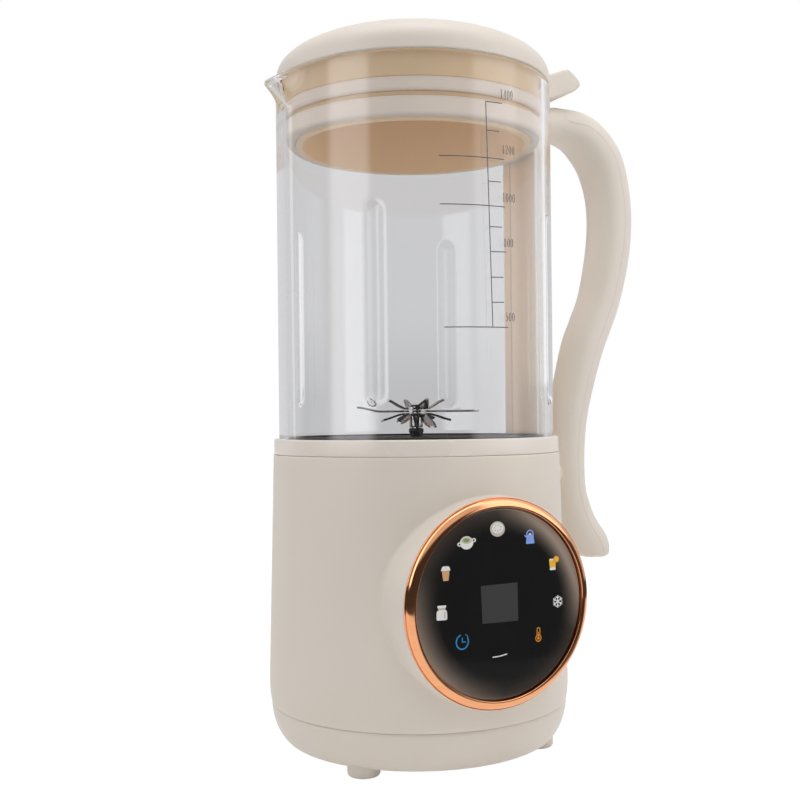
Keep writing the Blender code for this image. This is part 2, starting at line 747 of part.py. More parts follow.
def make_panel():
    seat = POD_FRONT + GAP
    high = RING_FRONT - seat
    ring_profile = [
        (RING_HOLE_R + RING_BEVEL / 2, high - RING_BEVEL / 3),
        (RING_HOLE_R + 2 * RING_BEVEL, high),
        (POD_R - RING_BEVEL, high),
        (POD_R - RING_BEVEL / 3, high - RING_BEVEL / 3),
        (POD_R, high - RING_BEVEL),
        (POD_R, 0),
        (RING_HOLE_R, 0),
        (RING_HOLE_R, high - RING_BEVEL),
    ]
    facing_front(turned("trim_ring", ring_profile, "copper_plating"), seat)

    radius = RING_HOLE_R - GAP
    crown = [(radius * share, PANEL_EDGE + PANEL_CROWN * (1 - share ** 2)) for share in CROWN_SHARES]
    facing_front(turned("control_glass", crown + [(radius, 0), (0, 0)], "panel_glass"), seat)

    back = POD_FRONT - LIP_THICK - GAP
    board_r = POD_R - POD_WALL - GAP
    board = [(0, 0), (board_r, 0), (board_r, -BOARD_THICK), (0, -BOARD_THICK)]
    facing_front(turned("touch_board", board, "circuit_board", MIDDLE_STEPS), back)
    thick = LIP_THICK - GAP
    centre = (0, -back - GAP - thick / 2, POD_Z)
    box("display_module", (DISPLAY_SIDE, thick, DISPLAY_SIDE), centre, "display_glass")


def make_inlet():
    centre = (0, INLET_FACE - INLET_DEEP / 2, INLET_Z)
    housing = box("inlet_housing", (INLET_WIDE, INLET_DEEP, INLET_HIGH), centre, "black_plastic")
    size = (SOCKET_WIDE, 2 * SOCKET_DEEP, SOCKET_HIGH)
    boolean(housing, box("inlet_socket", size, (0, INLET_FACE, INLET_Z)))
    floor = INLET_FACE - SOCKET_DEEP + GAP
    for name, x, z in (
        ("left_pin", -PIN_SPREAD, -PIN_OFFSET),
        ("right_pin", PIN_SPREAD, -PIN_OFFSET),
        ("earth_pin", 0, PIN_OFFSET),
    ):
        place_at = (x, floor + PIN_LONG / 2, INLET_Z + z)
        box(name, (PIN_WIDE, PIN_LONG, PIN_HIGH), place_at, "zinc_steel", PIN_WIDE / 6)


# Bottom cover and feet

def foot_places():
    reach = TOE_R - FOOT_INSET
    x, y = reach * cos(radians(FOOT_ANGLE)), reach * sin(radians(FOOT_ANGLE))
    return [(sx * x, sy * y) for sx in (-1, 1) for sy in (-1, 1)]


def columns(name, radius, low, high, places):
    """One cutter of equal upright cylinders, none of which touch."""
    shape = bmesh.new()
    for x, y in places:
        at = Matrix.Translation((x, y, (low + high) / 2))
        bmesh.ops.create_cone(
            shape,
            cap_ends=True,
            segments=SMALL_STEPS,
            radius1=radius,
            radius2=radius,
            depth=high - low,
            matrix=at,
        )
    mesh = bpy.data.meshes.new(name)
    shape.to_mesh(mesh)
    shape.free()
    return place(name, mesh)


def make_bottom():
    side = quarter_curve((SEAM_R, COVER_TOP), (TOE_R, UNDERSIDE_Z), 5, COVER_FULLNESS)
    inner_r = TOE_R - COVER_THICK
    tongue_r = SEAM_R - BASE_WALL - GAP
    tongue_top = COVER_TOP + TONGUE_HIGH
    profile = [
        (0, COVER_FLOOR),
        (inner_r, COVER_FLOOR),
        (SEAM_R - 2 * COVER_THICK, (COVER_FLOOR + COVER_TOP) / 2),
        (tongue_r - TONGUE_THICK, COVER_TOP),
        (tongue_r - TONGUE_THICK, tongue_top),
        (tongue_r, tongue_top),
        (tongue_r, COVER_TOP),
    ]
    cover = turned("bottom_cover", profile + side + [(0, UNDERSIDE_Z)], "cream_plastic")

    places = foot_places()
    wall_r = FOOT_R + GAP + FOOT_BOSS_WALL
    boss_low = UNDERSIDE_Z + COVER_THICK / 2
    socket_top = FOOT_HIGH + GAP
    bosses = columns("foot_bosses", wall_r, boss_low, socket_top + COVER_THICK, places)
    middle_r = SEAM_R - COVER_THICK / 2
    toe = (TOE_R - COVER_THICK / 2, UNDERSIDE_Z)
    middle = quarter_curve((middle_r, COVER_TOP), toe, 5, COVER_FULLNESS)
    boolean(bosses, turned("cover_middle", [(0, COVER_TOP)] + middle + [(0, UNDERSIDE_Z)]), "INTERSECT")
    boolean(cover, bosses, "UNION")
    boolean(cover, columns("foot_sockets", FOOT_R + GAP, -OVERRUN, socket_top, places))

    slots = bmesh.new()
    for i in range(VENT_COUNT):
        turn = Matrix.Rotation(2 * pi * (i + 0.5) / VENT_COUNT, 4, "Z")
        size = Matrix.Diagonal((VENT_LONG, VENT_WIDTH, 4 * COVER_THICK, 1))
        at = turn @ Matrix.Translation((VENT_R, 0, UNDERSIDE_Z)) @ size
        bmesh.ops.create_cube(slots, size=1, matrix=at)
    mesh = bpy.data.meshes.new("vent_slots")
    slots.to_mesh(mesh)
    slots.free()
    boolean(cover, place("vent_slots", mesh))

    names = ("front_left", "rear_left", "front_right", "rear_right")
    for name, (x, y) in zip(names, places):
        foot = [(0, FOOT_HIGH), (FOOT_R, FOOT_HIGH), (FOOT_R, FOOT_ROUND)]
        foot += [(FOOT_R - FOOT_ROUND / 3, FOOT_ROUND / 3), (FOOT_R - FOOT_ROUND, 0), (0, 0)]
        piece = turned(name + "_foot", foot, "cream_plastic", SMALL_STEPS)
        piece.location = (x, y, 0)


# Chassis, motor and boards

def make_motor():
    chassis_profile = [
        (CHASSIS_R - CHASSIS_RIM, BASE_TOP),
        (CHASSIS_R, BASE_TOP),
        (CHASSIS_R, CHASSIS_LOW),
        (SHAFT_HOLE_R, CHASSIS_LOW),
        (SHAFT_HOLE_R, CHASSIS_TOP),
        (CHASSIS_R - CHASSIS_RIM, CHASSIS_TOP),
    ]
    turned("motor_chassis", chassis_profile, "black_plastic", MIDDLE_STEPS)

    hole = circle(BEARING_R + GAP, SMALL_STEPS)
    outline = rounded_box(BRACKET_LONG, BRACKET_WIDE, BRACKET_WIDE / 4, 2)
    bracket = plate("motor_bracket", [outline, hole], BRACKET_THICK, "zinc_steel")
    bracket.location = (0, 0, (BRACKET_TOP + BRACKET_LOW) / 2)
    ring("upper_bearing", SHAFT_HOLE_R, BEARING_R, BRACKET_LOW, BRACKET_TOP, "zinc_steel", SMALL_STEPS)

    inside = CORE_LONG / 2 + GAP
    outside = inside + CRADLE_THICK
    floor = CRADLE_LOW + CRADLE_THICK
    outline = [
        (-outside, CRADLE_LOW),
        (outside, CRADLE_LOW),
        (outside, CRADLE_TOP),
        (inside, CRADLE_TOP),
        (inside, floor),
        (-inside, floor),
        (-inside, CRADLE_TOP),
        (-outside, CRADLE_TOP),
    ]
    cradle = upright(plate("motor_cradle", [outline], CRADLE_WIDE, "zinc_steel"))
    boolean(cradle, rod("cradle_hole", LOWER_BEARING_R + GAP, CRADLE_LOW - OVERRUN, floor + OVERRUN))
    ring("lower_bearing", SHAFT_HOLE_R, LOWER_BEARING_R, CRADLE_LOW, floor, "zinc_steel", SMALL_STEPS)

    outline = rounded_box(CORE_LONG, CORE_WIDE, CORE_CORNER, 3)
    core = plate("stator_core", [outline, circle(CORE_BORE_R, MIDDLE_STEPS)], CORE_HIGH, "zinc_steel")
    core.location = (0, 0, (CORE_TOP + CORE_LOW) / 2)
    for name, low in (
        ("upper_field_coil", CORE_TOP + GAP),
        ("lower_field_coil", CORE_LOW - GAP - COIL_HIGH),
    ):
        high = low + COIL_HIGH
        section = [
            (COIL_R - COIL_ROUND, high),
            (COIL_R, high - COIL_ROUND),
            (COIL_R, low + COIL_ROUND),
            (COIL_R - COIL_ROUND, low),
            (COIL_HOLE_R, low),
            (COIL_HOLE_R, high),
        ]
        turned(name, section, "copper_wire", MIDDLE_STEPS)

    make_brushes(floor)


def make_brushes(floor):
    for side, sx in (("left", -1), ("right", 1)):
        start = COMMUTATOR_R + GAP
        middle = sx * (start + BRUSH_LONG / 2)
        box(side + "_brush", (BRUSH_LONG, BRUSH_SIDE, BRUSH_SIDE), (middle, 0, BRUSH_Z), "carbon")
        half = BRUSH_SIDE / 2 + GAP
        wall = half + HOLDER_WALL
        low = floor + GAP - BRUSH_Z
        outline = [(-wall, low), (wall, low), (wall, half), (half, half)]
        outline += [(half, -half), (-half, -half), (-half, half), (-wall, half)]
        holder = plate(side + "_brush_holder", [outline], BRUSH_LONG - 2 * HOLDER_WALL, "black_plastic")
        holder.rotation_euler = (pi / 2, 0, pi / 2)
        holder.location = (middle, 0, BRUSH_Z)


def make_rotor():
    shaft_low = FAN_LOW - SHAFT_TAIL
    shaft_top = NUT_LOW + NUT_HIGH / 2
    rod("knife_shaft", SHAFT_R, shaft_low, shaft_top, "knife_steel")

    outline = []
    radius = CORE_BORE_R - AIR_GAP
    for i in range(SLOT_COUNT):
        middle = 2 * pi * (i + 0.5) / SLOT_COUNT
        mouth = SLOT_MOUTH / 2 / radius
        floor_r = radius - SLOT_DEEP
        floor = SLOT_WIDTH / 2 / floor_r
        outline.append((radius * cos(middle - mouth), radius * sin(middle - mouth)))
        outline.append((floor_r * cos(middle - floor), floor_r * sin(middle - floor)))
        outline.append((floor_r * cos(middle + floor), floor_r * sin(middle + floor)))
        outline.append((radius * cos(middle + mouth), radius * sin(middle + mouth)))
    bore = circle(SHAFT_HOLE_R, SMALL_STEPS)
    core = plate("armature", [outline, bore], CORE_HIGH - 2 * GAP, "zinc_steel")
    core.location = (0, 0, (CORE_TOP + CORE_LOW) / 2)
    low, high = COMMUTATOR_LOW, COMMUTATOR_TOP
    ring("commutator", SHAFT_HOLE_R, COMMUTATOR_R, low, high, "copper_wire", COMMUTATOR_BARS)
    make_fan()


def make_fan():
    """Straight vanes stand on the fan's disc and run into its hub."""
    disc_top = FAN_LOW + FAN_THICK
    profile = [
        (SHAFT_HOLE_R, FAN_TOP),
        (FAN_HUB_R, FAN_TOP),
        (FAN_HUB_R, disc_top),
        (FAN_R, disc_top),
        (FAN_R, FAN_LOW),
        (SHAFT_HOLE_R, FAN_LOW),
    ]
    fan = turned("cooling_fan", profile, "black_plastic", MIDDLE_STEPS)
    vanes = bmesh.new()
    inner, outer = FAN_HUB_R - VANE_THICK, FAN_R - VANE_THICK
    low = FAN_LOW + FAN_THICK / 2
    high = FAN_TOP - VANE_THICK
    for i in range(VANE_COUNT):
        size = Matrix.Diagonal((outer - inner, VANE_THICK, high - low, 1))
        shift = Matrix.Translation(((outer + inner) / 2, 0, (low + high) / 2))
        turn = Matrix.Rotation(2 * pi * i / VANE_COUNT, 4, "Z")
        bmesh.ops.create_cube(vanes, size=1, matrix=turn @ shift @ size)
    mesh = bpy.data.meshes.new("fan_vanes")
    vanes.to_mesh(mesh)
    vanes.free()
    boolean(fan, place("fan_vanes", mesh), "UNION")


def make_power_board():
    low = COVER_FLOOR + GAP
    middle_z = low + POWER_BOARD_HIGH / 2
    size = (BOARD_THICK, POWER_BOARD_LONG, POWER_BOARD_HIGH)
    box("power_board", size, (-POWER_BOARD_X, 0, middle_z), "circuit_board")
    face = -POWER_BOARD_X + BOARD_THICK / 2 + GAP
    middle = face + CAPACITOR_R
    capacitor = rod("capacitor", CAPACITOR_R, 0, CAPACITOR_LONG, "black_plastic")
    capacitor.location = (middle, -CAPACITOR_Y, middle_z - CAPACITOR_LONG / 2)
    size = (RELAY_THICK, RELAY_LONG, RELAY_HIGH)
    box("relay", size, (face + RELAY_THICK / 2, CAPACITOR_Y, middle_z), "black_plastic", GAP)


# Knife

def blade(name, height, arms, turn):
    """A blade plate: a capped many-sided hub with its edges drawn out into bent arms, then given thickness.

    arms holds, for each arm, its angle, radius, lift and table of shares.
    """
    sides = 12
    shape = bmesh.new()
    bmesh.ops.create_circle(shape, cap_ends=True, segments=sides, radius=BLADE_HUB_R)
    bmesh.ops.rotate(shape, verts=shape.verts, matrix=Matrix.Rotation(pi / sides, 3, "Z"))
    shape.edges.ensure_lookup_table()
    for angle, reach, lift, shares in arms:
        way = Vector((cos(radians(angle)), sin(radians(angle)), 0))
        across = Vector((-way.y, way.x, 0))
        rim = [edge for edge in shape.edges if len(edge.link_faces) == 1]
        edge = max(rim, key=lambda e: (e.verts[0].co + e.verts[1].co).normalized().dot(way))
        for out, half_width, rise in shares:
            grown = bmesh.ops.extrude_edge_only(shape, edges=[edge])["geom"]
            ends = [item for item in grown if isinstance(item, bmesh.types.BMVert)]
            edge = next(item for item in grown if isinstance(item, bmesh.types.BMEdge))
            for end in ends:
                side = 1 if end.co.dot(across) > 0 else -1
                end.co = way * reach * out + across * (side * half_width * BLADE_HUB_R)
                end.co.z = lift * rise
    bmesh.ops.recalc_face_normals(shape, faces=shape.faces)
    if max(shape.faces, key=lambda face: face.calc_area()).normal.z < 0:
        bmesh.ops.reverse_faces(shape, faces=shape.faces)
    mesh = bpy.data.meshes.new(name)
    shape.to_mesh(mesh)
    shape.free()
    piece = place(name, mesh, "knife_steel")
    piece.location = (0, 0, height)
    piece.rotation_euler = (0, 0, radians(turn))
    thick = piece.modifiers.new("thickness", "SOLIDIFY")
    thick.thickness = BLADE_THICK
    thick.offset = 1
    boolean(piece, knife_hole)


def make_knife():
    blade("long_blade", LONG_Z, [
        (0, LONG_BLADE_R, LONG_TIP_LIFT, LONG_ARM_SHARES),
        (180, LONG_BLADE_R, LONG_TIP_LIFT, BENT_ARM_SHARES),
    ], LONG_ANGLE)
    rising = [(90 * i, RISING_BLADE_R, RISING_LIFT, POINTED_ARM_SHARES) for i in range(4)]
    blade("rising_blade", RISING_Z, rising, RISING_ANGLE)
    falling = []
    for i in range(6):
        shares = POINTED_ARM_SHARES if i % 3 == 2 else PADDLE_ARM_SHARES
        falling.append((60 * i, FALLING_BLADE_R, -FALLING_LIFT, shares))
    blade("falling_blade", FALLING_Z, falling, FALLING_ANGLE)
    ring("shaft_seal", SHAFT_HOLE_R, SEAL_R, PLATE_TOP + GAP, SEAL_TOP, "dark_rubber", SMALL_STEPS)
    ring("knife_spacer", SHAFT_HOLE_R, SPACER_R, SEAL_TOP + GAP, SPACER_TOP, "knife_steel", SMALL_STEPS)
    nut_top = NUT_LOW + NUT_HIGH
    ring("knife_nut", SHAFT_HOLE_R, NUT_R, NUT_LOW, nut_top, "knife_steel", NUT_SIDES)


# Lid

def make_lid():
    rim_top = LID_LOW + LID_RIM
    outer = quarter_curve((LID_R, rim_top), (0, LID_TOP), 8, LID_FULLNESS)[::-1]
    inside_r = LID_R - LID_WALL
    inner = quarter_curve((inside_r, rim_top), (0, LID_TOP - LID_WALL), 6, LID_FULLNESS)
    profile = outer + [(LID_R, LID_LOW), (inside_r, LID_LOW)] + inner
    cover = turned("lid_cover", profile, "cream_plastic")

    outline = [(LID_R + TAB_LONG * out, LID_LOW + TAB_RISE * up) for out, up in TAB_SHARES]
    tab = upright(plate("tab_form", [outline], TAB_WIDE))
    weld = tab.modifiers.new("weld", "WELD")
    weld.merge_threshold = MERGE
    edge = tab.modifiers.new("rounding", "BEVEL")
    edge.width = TAB_ROUND
    edge.segments = 2
    edge.limit_method = "ANGLE"
    edge.angle_limit = radians(50)
    middle_r = LID_R - LID_WALL / 2
    core = quarter_curve((middle_r, rim_top), (0, LID_TOP - LID_WALL / 2), 8, LID_FULLNESS)[::-1]
    low = LID_LOW - OVERRUN
    boolean(tab, turned("lid_middle", core + [(middle_r, low), (0, low)]))
    boolean(cover, tab, "UNION")

    magnet_low = LID_LOW + TAB_RISE * TAB_SHARES[0][1]
    pocket_top = magnet_low + MAGNET_HIGH + GAP
    pocket = rod("magnet_pocket", MAGNET_R + GAP, magnet_low - OVERRUN, pocket_top)
    pocket.location = (MAGNET_X, 0, 0)
    boolean(cover, pocket)
    magnet = rod("lid_magnet", MAGNET_R, magnet_low, magnet_low + MAGNET_HIGH, "ferrite")
    magnet.location = (MAGNET_X, 0, 0)
    make_plug()


def make_plug():
    flange_low = LID_LOW + GAP
    flange_top = flange_low + PLUG_FLANGE_HIGH
    step = UPPER_SEAL_TOP + GAP
    rib_top = UPPER_SEAL_LOW - GAP
    rib_low = LOWER_SEAL_TOP + GAP
    profile = [
        (0, flange_top),
        (PLUG_FLANGE_R, flange_top),
        (PLUG_FLANGE_R, flange_low),
        (PLUG_R, flange_low),
        (PLUG_R, step),
        (PLUG_NECK_R, step),
        (PLUG_NECK_R, rib_top),
        (RIB_R, rib_top),
        (RIB_R, rib_low),
        (PLUG_NECK_R, rib_low),
        (PLUG_NECK_R, PLUG_LOW),
        (PLUG_HOLE_R, PLUG_LOW),
        (PLUG_HOLE_R, flange_top - PLUG_CEILING - GAP),
        (0, flange_top - PLUG_CEILING - GAP),
    ]
    turned("lid_plug", profile, "plug_plastic")
    hole = PLUG_NECK_R + 2 * GAP
    edge = (SEAL_LIP_R - hole) / 4
    upper = [
        (hole, UPPER_SEAL_TOP),
        (SEAL_LIP_R - edge, UPPER_SEAL_TOP),
        (SEAL_LIP_R, UPPER_SEAL_TOP - edge),
        (SEAL_LIP_R, UPPER_SEAL_LOW + edge),
        (SEAL_LIP_R - edge, UPPER_SEAL_LOW),
        (hole, UPPER_SEAL_LOW),
    ]
    turned("upper_lid_seal", upper, "silicone", MIDDLE_STEPS)
    lower = [(hole, LOWER_SEAL_TOP), (SEAL_LIP_R - edge, LOWER_SEAL_TOP)]
    lower += [(SEAL_LIP_R, LOWER_SEAL_TOP - edge)]
    lower += quarter_curve((SEAL_LIP_R, LOWER_SEAL_WAIST), (hole, PLUG_LOW), 3, 2)
    turned("lower_lid_seal", lower, "silicone", MIDDLE_STEPS)


# Handle

def handle_point(out, up):
    return STRIP_R + HANDLE_OUT * out, HANDLE_FOOT + (HANDLE_TOP - HANDLE_FOOT) * up


def handle_path():
    """Points (x, z, radius) along the handle's centre line, from the glass to the tail."""
    points = [(*handle_point(out, up), HANDLE_HALF * size) for out, up, size in HANDLE_SHARES]
    return [tuple(point) for point in through(points, HANDLE_RINGS)]


def handle_blank(name, grown=0, finish=None):
    """The whole grip as a round bar along its centre line, widened sideways to an oval."""
    path = handle_path()
    bar = bpy.data.curves.new(name, "CURVE")
    bar.dimensions = "3D"
    bar.bevel_depth = HANDLE_HALF
    bar.bevel_resolution = 5
    bar.use_fill_caps = True
    spline = bar.splines.new("POLY")
    spline.points.add(len(path) - 1)
    for point, (x, z, radius) in zip(spline.points, path):
        point.co = (x, 0, z, 1)
        point.radius = (radius + grown) / HANDLE_HALF
    guide = bpy.data.objects.new(name + "_path", bar)
    cutters.objects.link(guide)
    mesh = mesh_of(guide)
    mesh.transform(Matrix.Diagonal((1, HANDLE_WIDTH_SHARE, 1, 1)))
    bpy.data.objects.remove(guide)
    return place(name, mesh, finish)


def seam_region(name, shift):
    """What lies outside the seam: the centre line moved out by SEAM_SHIFT and a shift, closed outside."""
    path = [Vector((x, z)) for x, z, _ in handle_path()]
    hook_out = HOOK_SHARES[-1][0]
    start = handle_point(hook_out, 1)[0] + HANDLE_HALF / 3
    path = [point for i, point in enumerate(path) if point.x > start or i > len(path) / 2]
    path.append(path[-1] + (path[-1] - path[-4]).normalized() * HANDLE_HALF * 2)
    inner, outer = [], []
    for i, point in enumerate(path):
        along = path[min(i + 1, len(path) - 1)] - path[max(i - 1, 0)]
        normal = Vector((-along.y, along.x)).normalized()
        inner.append(tuple(point + normal * (SEAM_SHIFT + shift)))
        outer.append(tuple(point + normal * HANDLE_HALF * 2))
    hook = []
    for out, up in HOOK_SHARES:
        x, z = handle_point(out, 1)
        hook.append((x + shift, z + HANDLE_HALF * up + shift))
    top = (hook[0][0], hook[0][1] + HANDLE_HALF)
    return upright(plate(name, [[top] + hook + inner + outer[::-1]], 4 * HANDLE_HALF))


def make_handle():
    low = PLATE_TOP + GAP
    half = radians(STRIP_ANGLE)
    count = 8
    angles = [-half + 2 * half * i / count for i in range(count + 1)]
    arc = [(STRIP_R * cos(a), STRIP_R * sin(a)) for a in angles]
    arc += [(STRIP_HOLE_R * cos(a), STRIP_HOLE_R * sin(a)) for a in angles[::-1]]
    strip = plate("handle_strip", [arc], STRIP_TOP - low, "cream_plastic")
    strip.location = (0, 0, (STRIP_TOP + low) / 2)

    frame = handle_blank("handle_frame", 0, "cream_plastic")
    boolean(frame, seam_region("outside_frame_seam", 0))
    back = turned("strip_back", [
        (0, GLASS_TOP + 2 * OVERRUN),
        (STRIP_R + GAP, GLASS_TOP + 2 * OVERRUN),
        (STRIP_R + GAP, PLATE_TOP),
        (0, PLATE_TOP),
    ])
    boolean(frame, back)
    cover = handle_blank("handle_cover", 0, "cream_plastic")
    boolean(cover, seam_region("outside_cover_seam", GAP), "INTERSECT")

    mouth = handle_point(HOOK_SHARES[-1][0], 1)[0] + CHANNEL_HIGH
    channel_z = HANDLE_TOP + HANDLE_HALF / 3
    middle = mouth - CHANNEL_LONG
    size = (2 * CHANNEL_LONG, CHANNEL_WIDE, CHANNEL_HIGH)
    boolean(frame, box("switch_channel", size, (middle, 0, channel_z)))
    start = middle - CHANNEL_LONG + GAP
    size = (REED_LONG, CHANNEL_WIDE - 2 * GAP, REED_THICK)
    centre = (start + REED_LONG / 2, 0, channel_z - CHANNEL_HIGH / 2 + GAP + REED_THICK / 2)
    box("lid_switch", size, centre, "circuit_board")
    make_boss()


def make_boss():
    """The round boss fills the space between the base's wall and the handle's inner side."""
    reach = handle_point(HANDLE_SHARES[14][0], 0)[0]
    boss = rod("handle_boss", BOSS_R, BASE_TOP_R - BASE_WALL, reach, "cream_plastic", 24)
    boss.rotation_euler = (0, pi / 2, 0)
    boss.location = (0, 0, BOSS_Z)
    wall = base_profile(-GAP, BASE_TOP + OVERRUN)
    boolean(boss, turned("base_outside", [(0, wall[0][1])] + wall + [(0, wall[-1][1])]))
    boolean(boss, handle_blank("grip_clearance", GAP))


knife_hole = rod("knife_hole", SHAFT_HOLE_R, FALLING_Z - OVERRUN, NUT_LOW + OVERRUN)

make_cup()
make_cup_foot()
make_base()
make_panel()
make_inlet()
make_bottom()
make_motor()
make_rotor()
make_power_board()
make_knife()
make_lid()
make_handle()

# The origin is the middle of the footprint: the grip, the lip, the ring and the base's back reach furthest
grip_reach = max(x + radius for x, z, radius in handle_path())
lip_reach = GLASS_R + SPOUT_OUT
column.location = ((lip_reach - grip_reach) / 2, (RING_FRONT - BELLY_R) / 2, 0)
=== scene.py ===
# %% [markdown]
# # Dressing a soy milk maker
#
# The measured frame of this machine already exists: every part at its real size, with a lid that lifts and a
# knife that spins. This lesson puts the looks on it: moulded cream plastic, pressed clear glass, a copper ring
# round a domed black panel, pale silicone bands and a polished knife. The new skins are surfaces worked out
# with numpy, in millimetres about the cup's axis, and each takes its size from the frame.

import json
from math import pi, radians

import bpy
import numpy as np
from mathutils import Matrix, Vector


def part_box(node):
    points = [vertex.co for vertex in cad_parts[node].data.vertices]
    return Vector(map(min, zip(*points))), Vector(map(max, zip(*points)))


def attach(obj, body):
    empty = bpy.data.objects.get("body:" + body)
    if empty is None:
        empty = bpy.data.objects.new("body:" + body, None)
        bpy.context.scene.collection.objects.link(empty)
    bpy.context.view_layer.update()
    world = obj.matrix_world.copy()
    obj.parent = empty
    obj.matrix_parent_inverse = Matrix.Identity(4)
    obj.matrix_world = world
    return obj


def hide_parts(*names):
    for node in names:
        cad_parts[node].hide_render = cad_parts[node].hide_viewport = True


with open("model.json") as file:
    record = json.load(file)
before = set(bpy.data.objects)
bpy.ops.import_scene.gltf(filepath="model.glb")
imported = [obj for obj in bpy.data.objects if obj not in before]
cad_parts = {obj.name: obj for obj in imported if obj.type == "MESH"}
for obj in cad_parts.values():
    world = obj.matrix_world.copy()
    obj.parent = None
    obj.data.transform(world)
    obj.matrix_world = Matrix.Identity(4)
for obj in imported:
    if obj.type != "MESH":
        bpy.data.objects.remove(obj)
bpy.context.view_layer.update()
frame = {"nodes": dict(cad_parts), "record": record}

# %% [markdown]
# The cup is round, so nearly every shape is easiest about its axis. The heating plate is a turned disc, and the
# middle of its box is therefore that axis. All later sizes are read the same way, as a node's corners in
# millimetres from the axis. They could be typed again from the drawing, but read ones can't disagree with it.

# %% Sizes read from the frame
MM = 1000.0
low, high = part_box("heating_plate")
AXIS = np.array([(low.x + high.x) / 2, (low.y + high.y) / 2, 0]) * MM


def corners(node):
    """The lowest and the highest corner of a node's box, in millimetres about the cup's axis."""
    low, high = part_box(node)
    return np.array(low) * MM - AXIS, np.array(high) * MM - AXIS


glass_low, glass_high = corners("jar_glass")
collar_low, collar_high = corners("jar_collar")
shell_low, shell_high = corners("base_shell")
cover_low, _ = corners("bottom_cover")
ring_low, ring_high = corners("trim_ring")
lid_low, lid_high = corners("lid_cover")

GLASS_R = glass_high[1]
GLASS_WALL = 3.5
COLLAR_R = collar_high[0]
BELLY_R = shell_high[0]
POD_Z = (ring_low[2] + ring_high[2]) / 2
POD_R = ring_high[0]
print("glass radius %.1f mm, panel height %.1f mm, belly radius %.1f mm" % (GLASS_R, POD_Z, BELLY_R))

# %% [markdown]
# The photograph looks at the machine level with the lower quarter of the glass, 27 degrees round from the
# control panel. The lens comes from the picture itself: the glass is 121 mm wide, and it spans a known share of
# the frame. The picture leans by about half a degree, so the camera is turned about its own line of sight.

# %% Camera
PICTURE_PX = 800
FOCAL_PX = 1117
SENSOR = 36.0
DISTANCE = 497.0
EYE = 144.3
AZIMUTH = radians(-27)
LEAN = radians(-0.6)
SHIFT_PX = (16.1, 16.0)


def placed(name, data):
    """A new object in the scene, at the origin and unturned."""
    made = bpy.data.objects.new(name, data)
    bpy.context.scene.collection.objects.link(made)
    return made


lens = bpy.data.cameras.new("camera")
lens.sensor_width = SENSOR
lens.lens = SENSOR * FOCAL_PX / PICTURE_PX
lens.shift_x = -SHIFT_PX[0] / PICTURE_PX
lens.shift_y = SHIFT_PX[1] / PICTURE_PX
lens.clip_start = 0.01
camera = placed("camera", lens)
sight = np.array([-np.sin(AZIMUTH), np.cos(AZIMUTH), 0])
stand = (AXIS - sight * DISTANCE + [0, 0, EYE]) / MM
turn = Matrix.Rotation(AZIMUTH, 4, "Z") @ Matrix.Rotation(pi / 2, 4, "X") @ Matrix.Rotation(LEAN, 4, "Z")
camera.matrix_world = Matrix.Translation(stand) @ turn
bpy.context.scene.camera = camera
bpy.context.scene.view_settings.view_transform = "Standard"
print("lens %.1f mm, %.0f mm from the cup's axis" % (lens.lens, DISTANCE))

# %% [markdown]
# A finish is a small network of shader nodes. Written out by hand each network is long, so one helper adds a
# node, sets its sockets by name, and links a socket where it is given another node's output.

# %% A helper for shader nodes


def fill(tree, socket, value):
    """Links a socket to another node's output, or sets it to a plain value."""
    if isinstance(value, bpy.types.NodeSocket):
        tree.links.new(value, socket)
    else:
        socket.default_value = value


def feed(tree, made, **settings):
    """Fills a node's sockets by their names. A name that is no socket's sets one of its properties."""
    for key, value in settings.items():
        socket = made.inputs.get(key.replace("_", " "))
        if socket is None:
            setattr(made, key, value)
        else:
            fill(tree, socket, value)
    return made


def node(tree, kind, **settings):
    """Adds one node with its settings."""
    return feed(tree, tree.nodes.new("ShaderNode" + kind), **settings)


def maths(tree, operation, *values):
    """The result of a Math node on numbers or sockets."""
    made = tree.nodes.new("ShaderNodeMath")
    made.operation = operation
    for socket, value in zip(made.inputs, values):
        fill(tree, socket, value)
    return made.outputs[0]


def times(tree, product, *values):
    """The product of numbers or sockets."""
    for value in values:
        product = maths(tree, "MULTIPLY", product, value)
    return product


def between(tree, mask, first, second):
    """A colour that runs from the first to the second as the mask goes from 0 to 1."""
    made = tree.nodes.new("ShaderNodeMix")
    made.data_type = "RGBA"
    for place, value in ((0, mask), (6, first), (7, second)):
        fill(tree, made.inputs[place], value)
    return made.outputs[2]


def mixed(tree, share, first, second, end):
    """Two shaders mixed by a share, led to an output node."""
    mix = tree.nodes.new("ShaderNodeMixShader")
    for socket, source in zip(mix.inputs, (share, first.outputs[0], second.outputs[0])):
        tree.links.new(source, socket)
    tree.links.new(mix.outputs[0], end.inputs[0])


def remap(tree, value, low, high, start=0.0, end=1.0):
    """Runs a value from low..high to start..end, held at both ends."""
    made = node(tree, "MapRange", Value=value, From_Min=low, From_Max=high, To_Min=start, To_Max=end)
    return made.outputs["Result"]


def screen(red, green, blue):
    """A screen colour of 0 to 255 as linear light.

    It is ((c + 0.055) / 1.055) to the power 2.4, or c / 12.92 near black.
    """
    c = np.array([red, green, blue]) / 255
    light = np.where(c > 0.04045, ((c + 0.055) / 1.055) ** 2.4, c / 12.92)
    return (*light.tolist(), 1.0)


def own_place(tree):
    """The point's place in its piece's own coordinates."""
    return node(tree, "TexCoord").outputs["Object"]


def less(tree, place, point):
    """A place less a fixed point in millimetres, as x, y and z."""
    moved = node(tree, "VectorMath", operation="SUBTRACT")
    tree.links.new(place, moved.inputs[0])
    moved.inputs[1].default_value = tuple(np.array(point) / MM)
    return node(tree, "SeparateXYZ", Vector=moved.outputs[0]).outputs


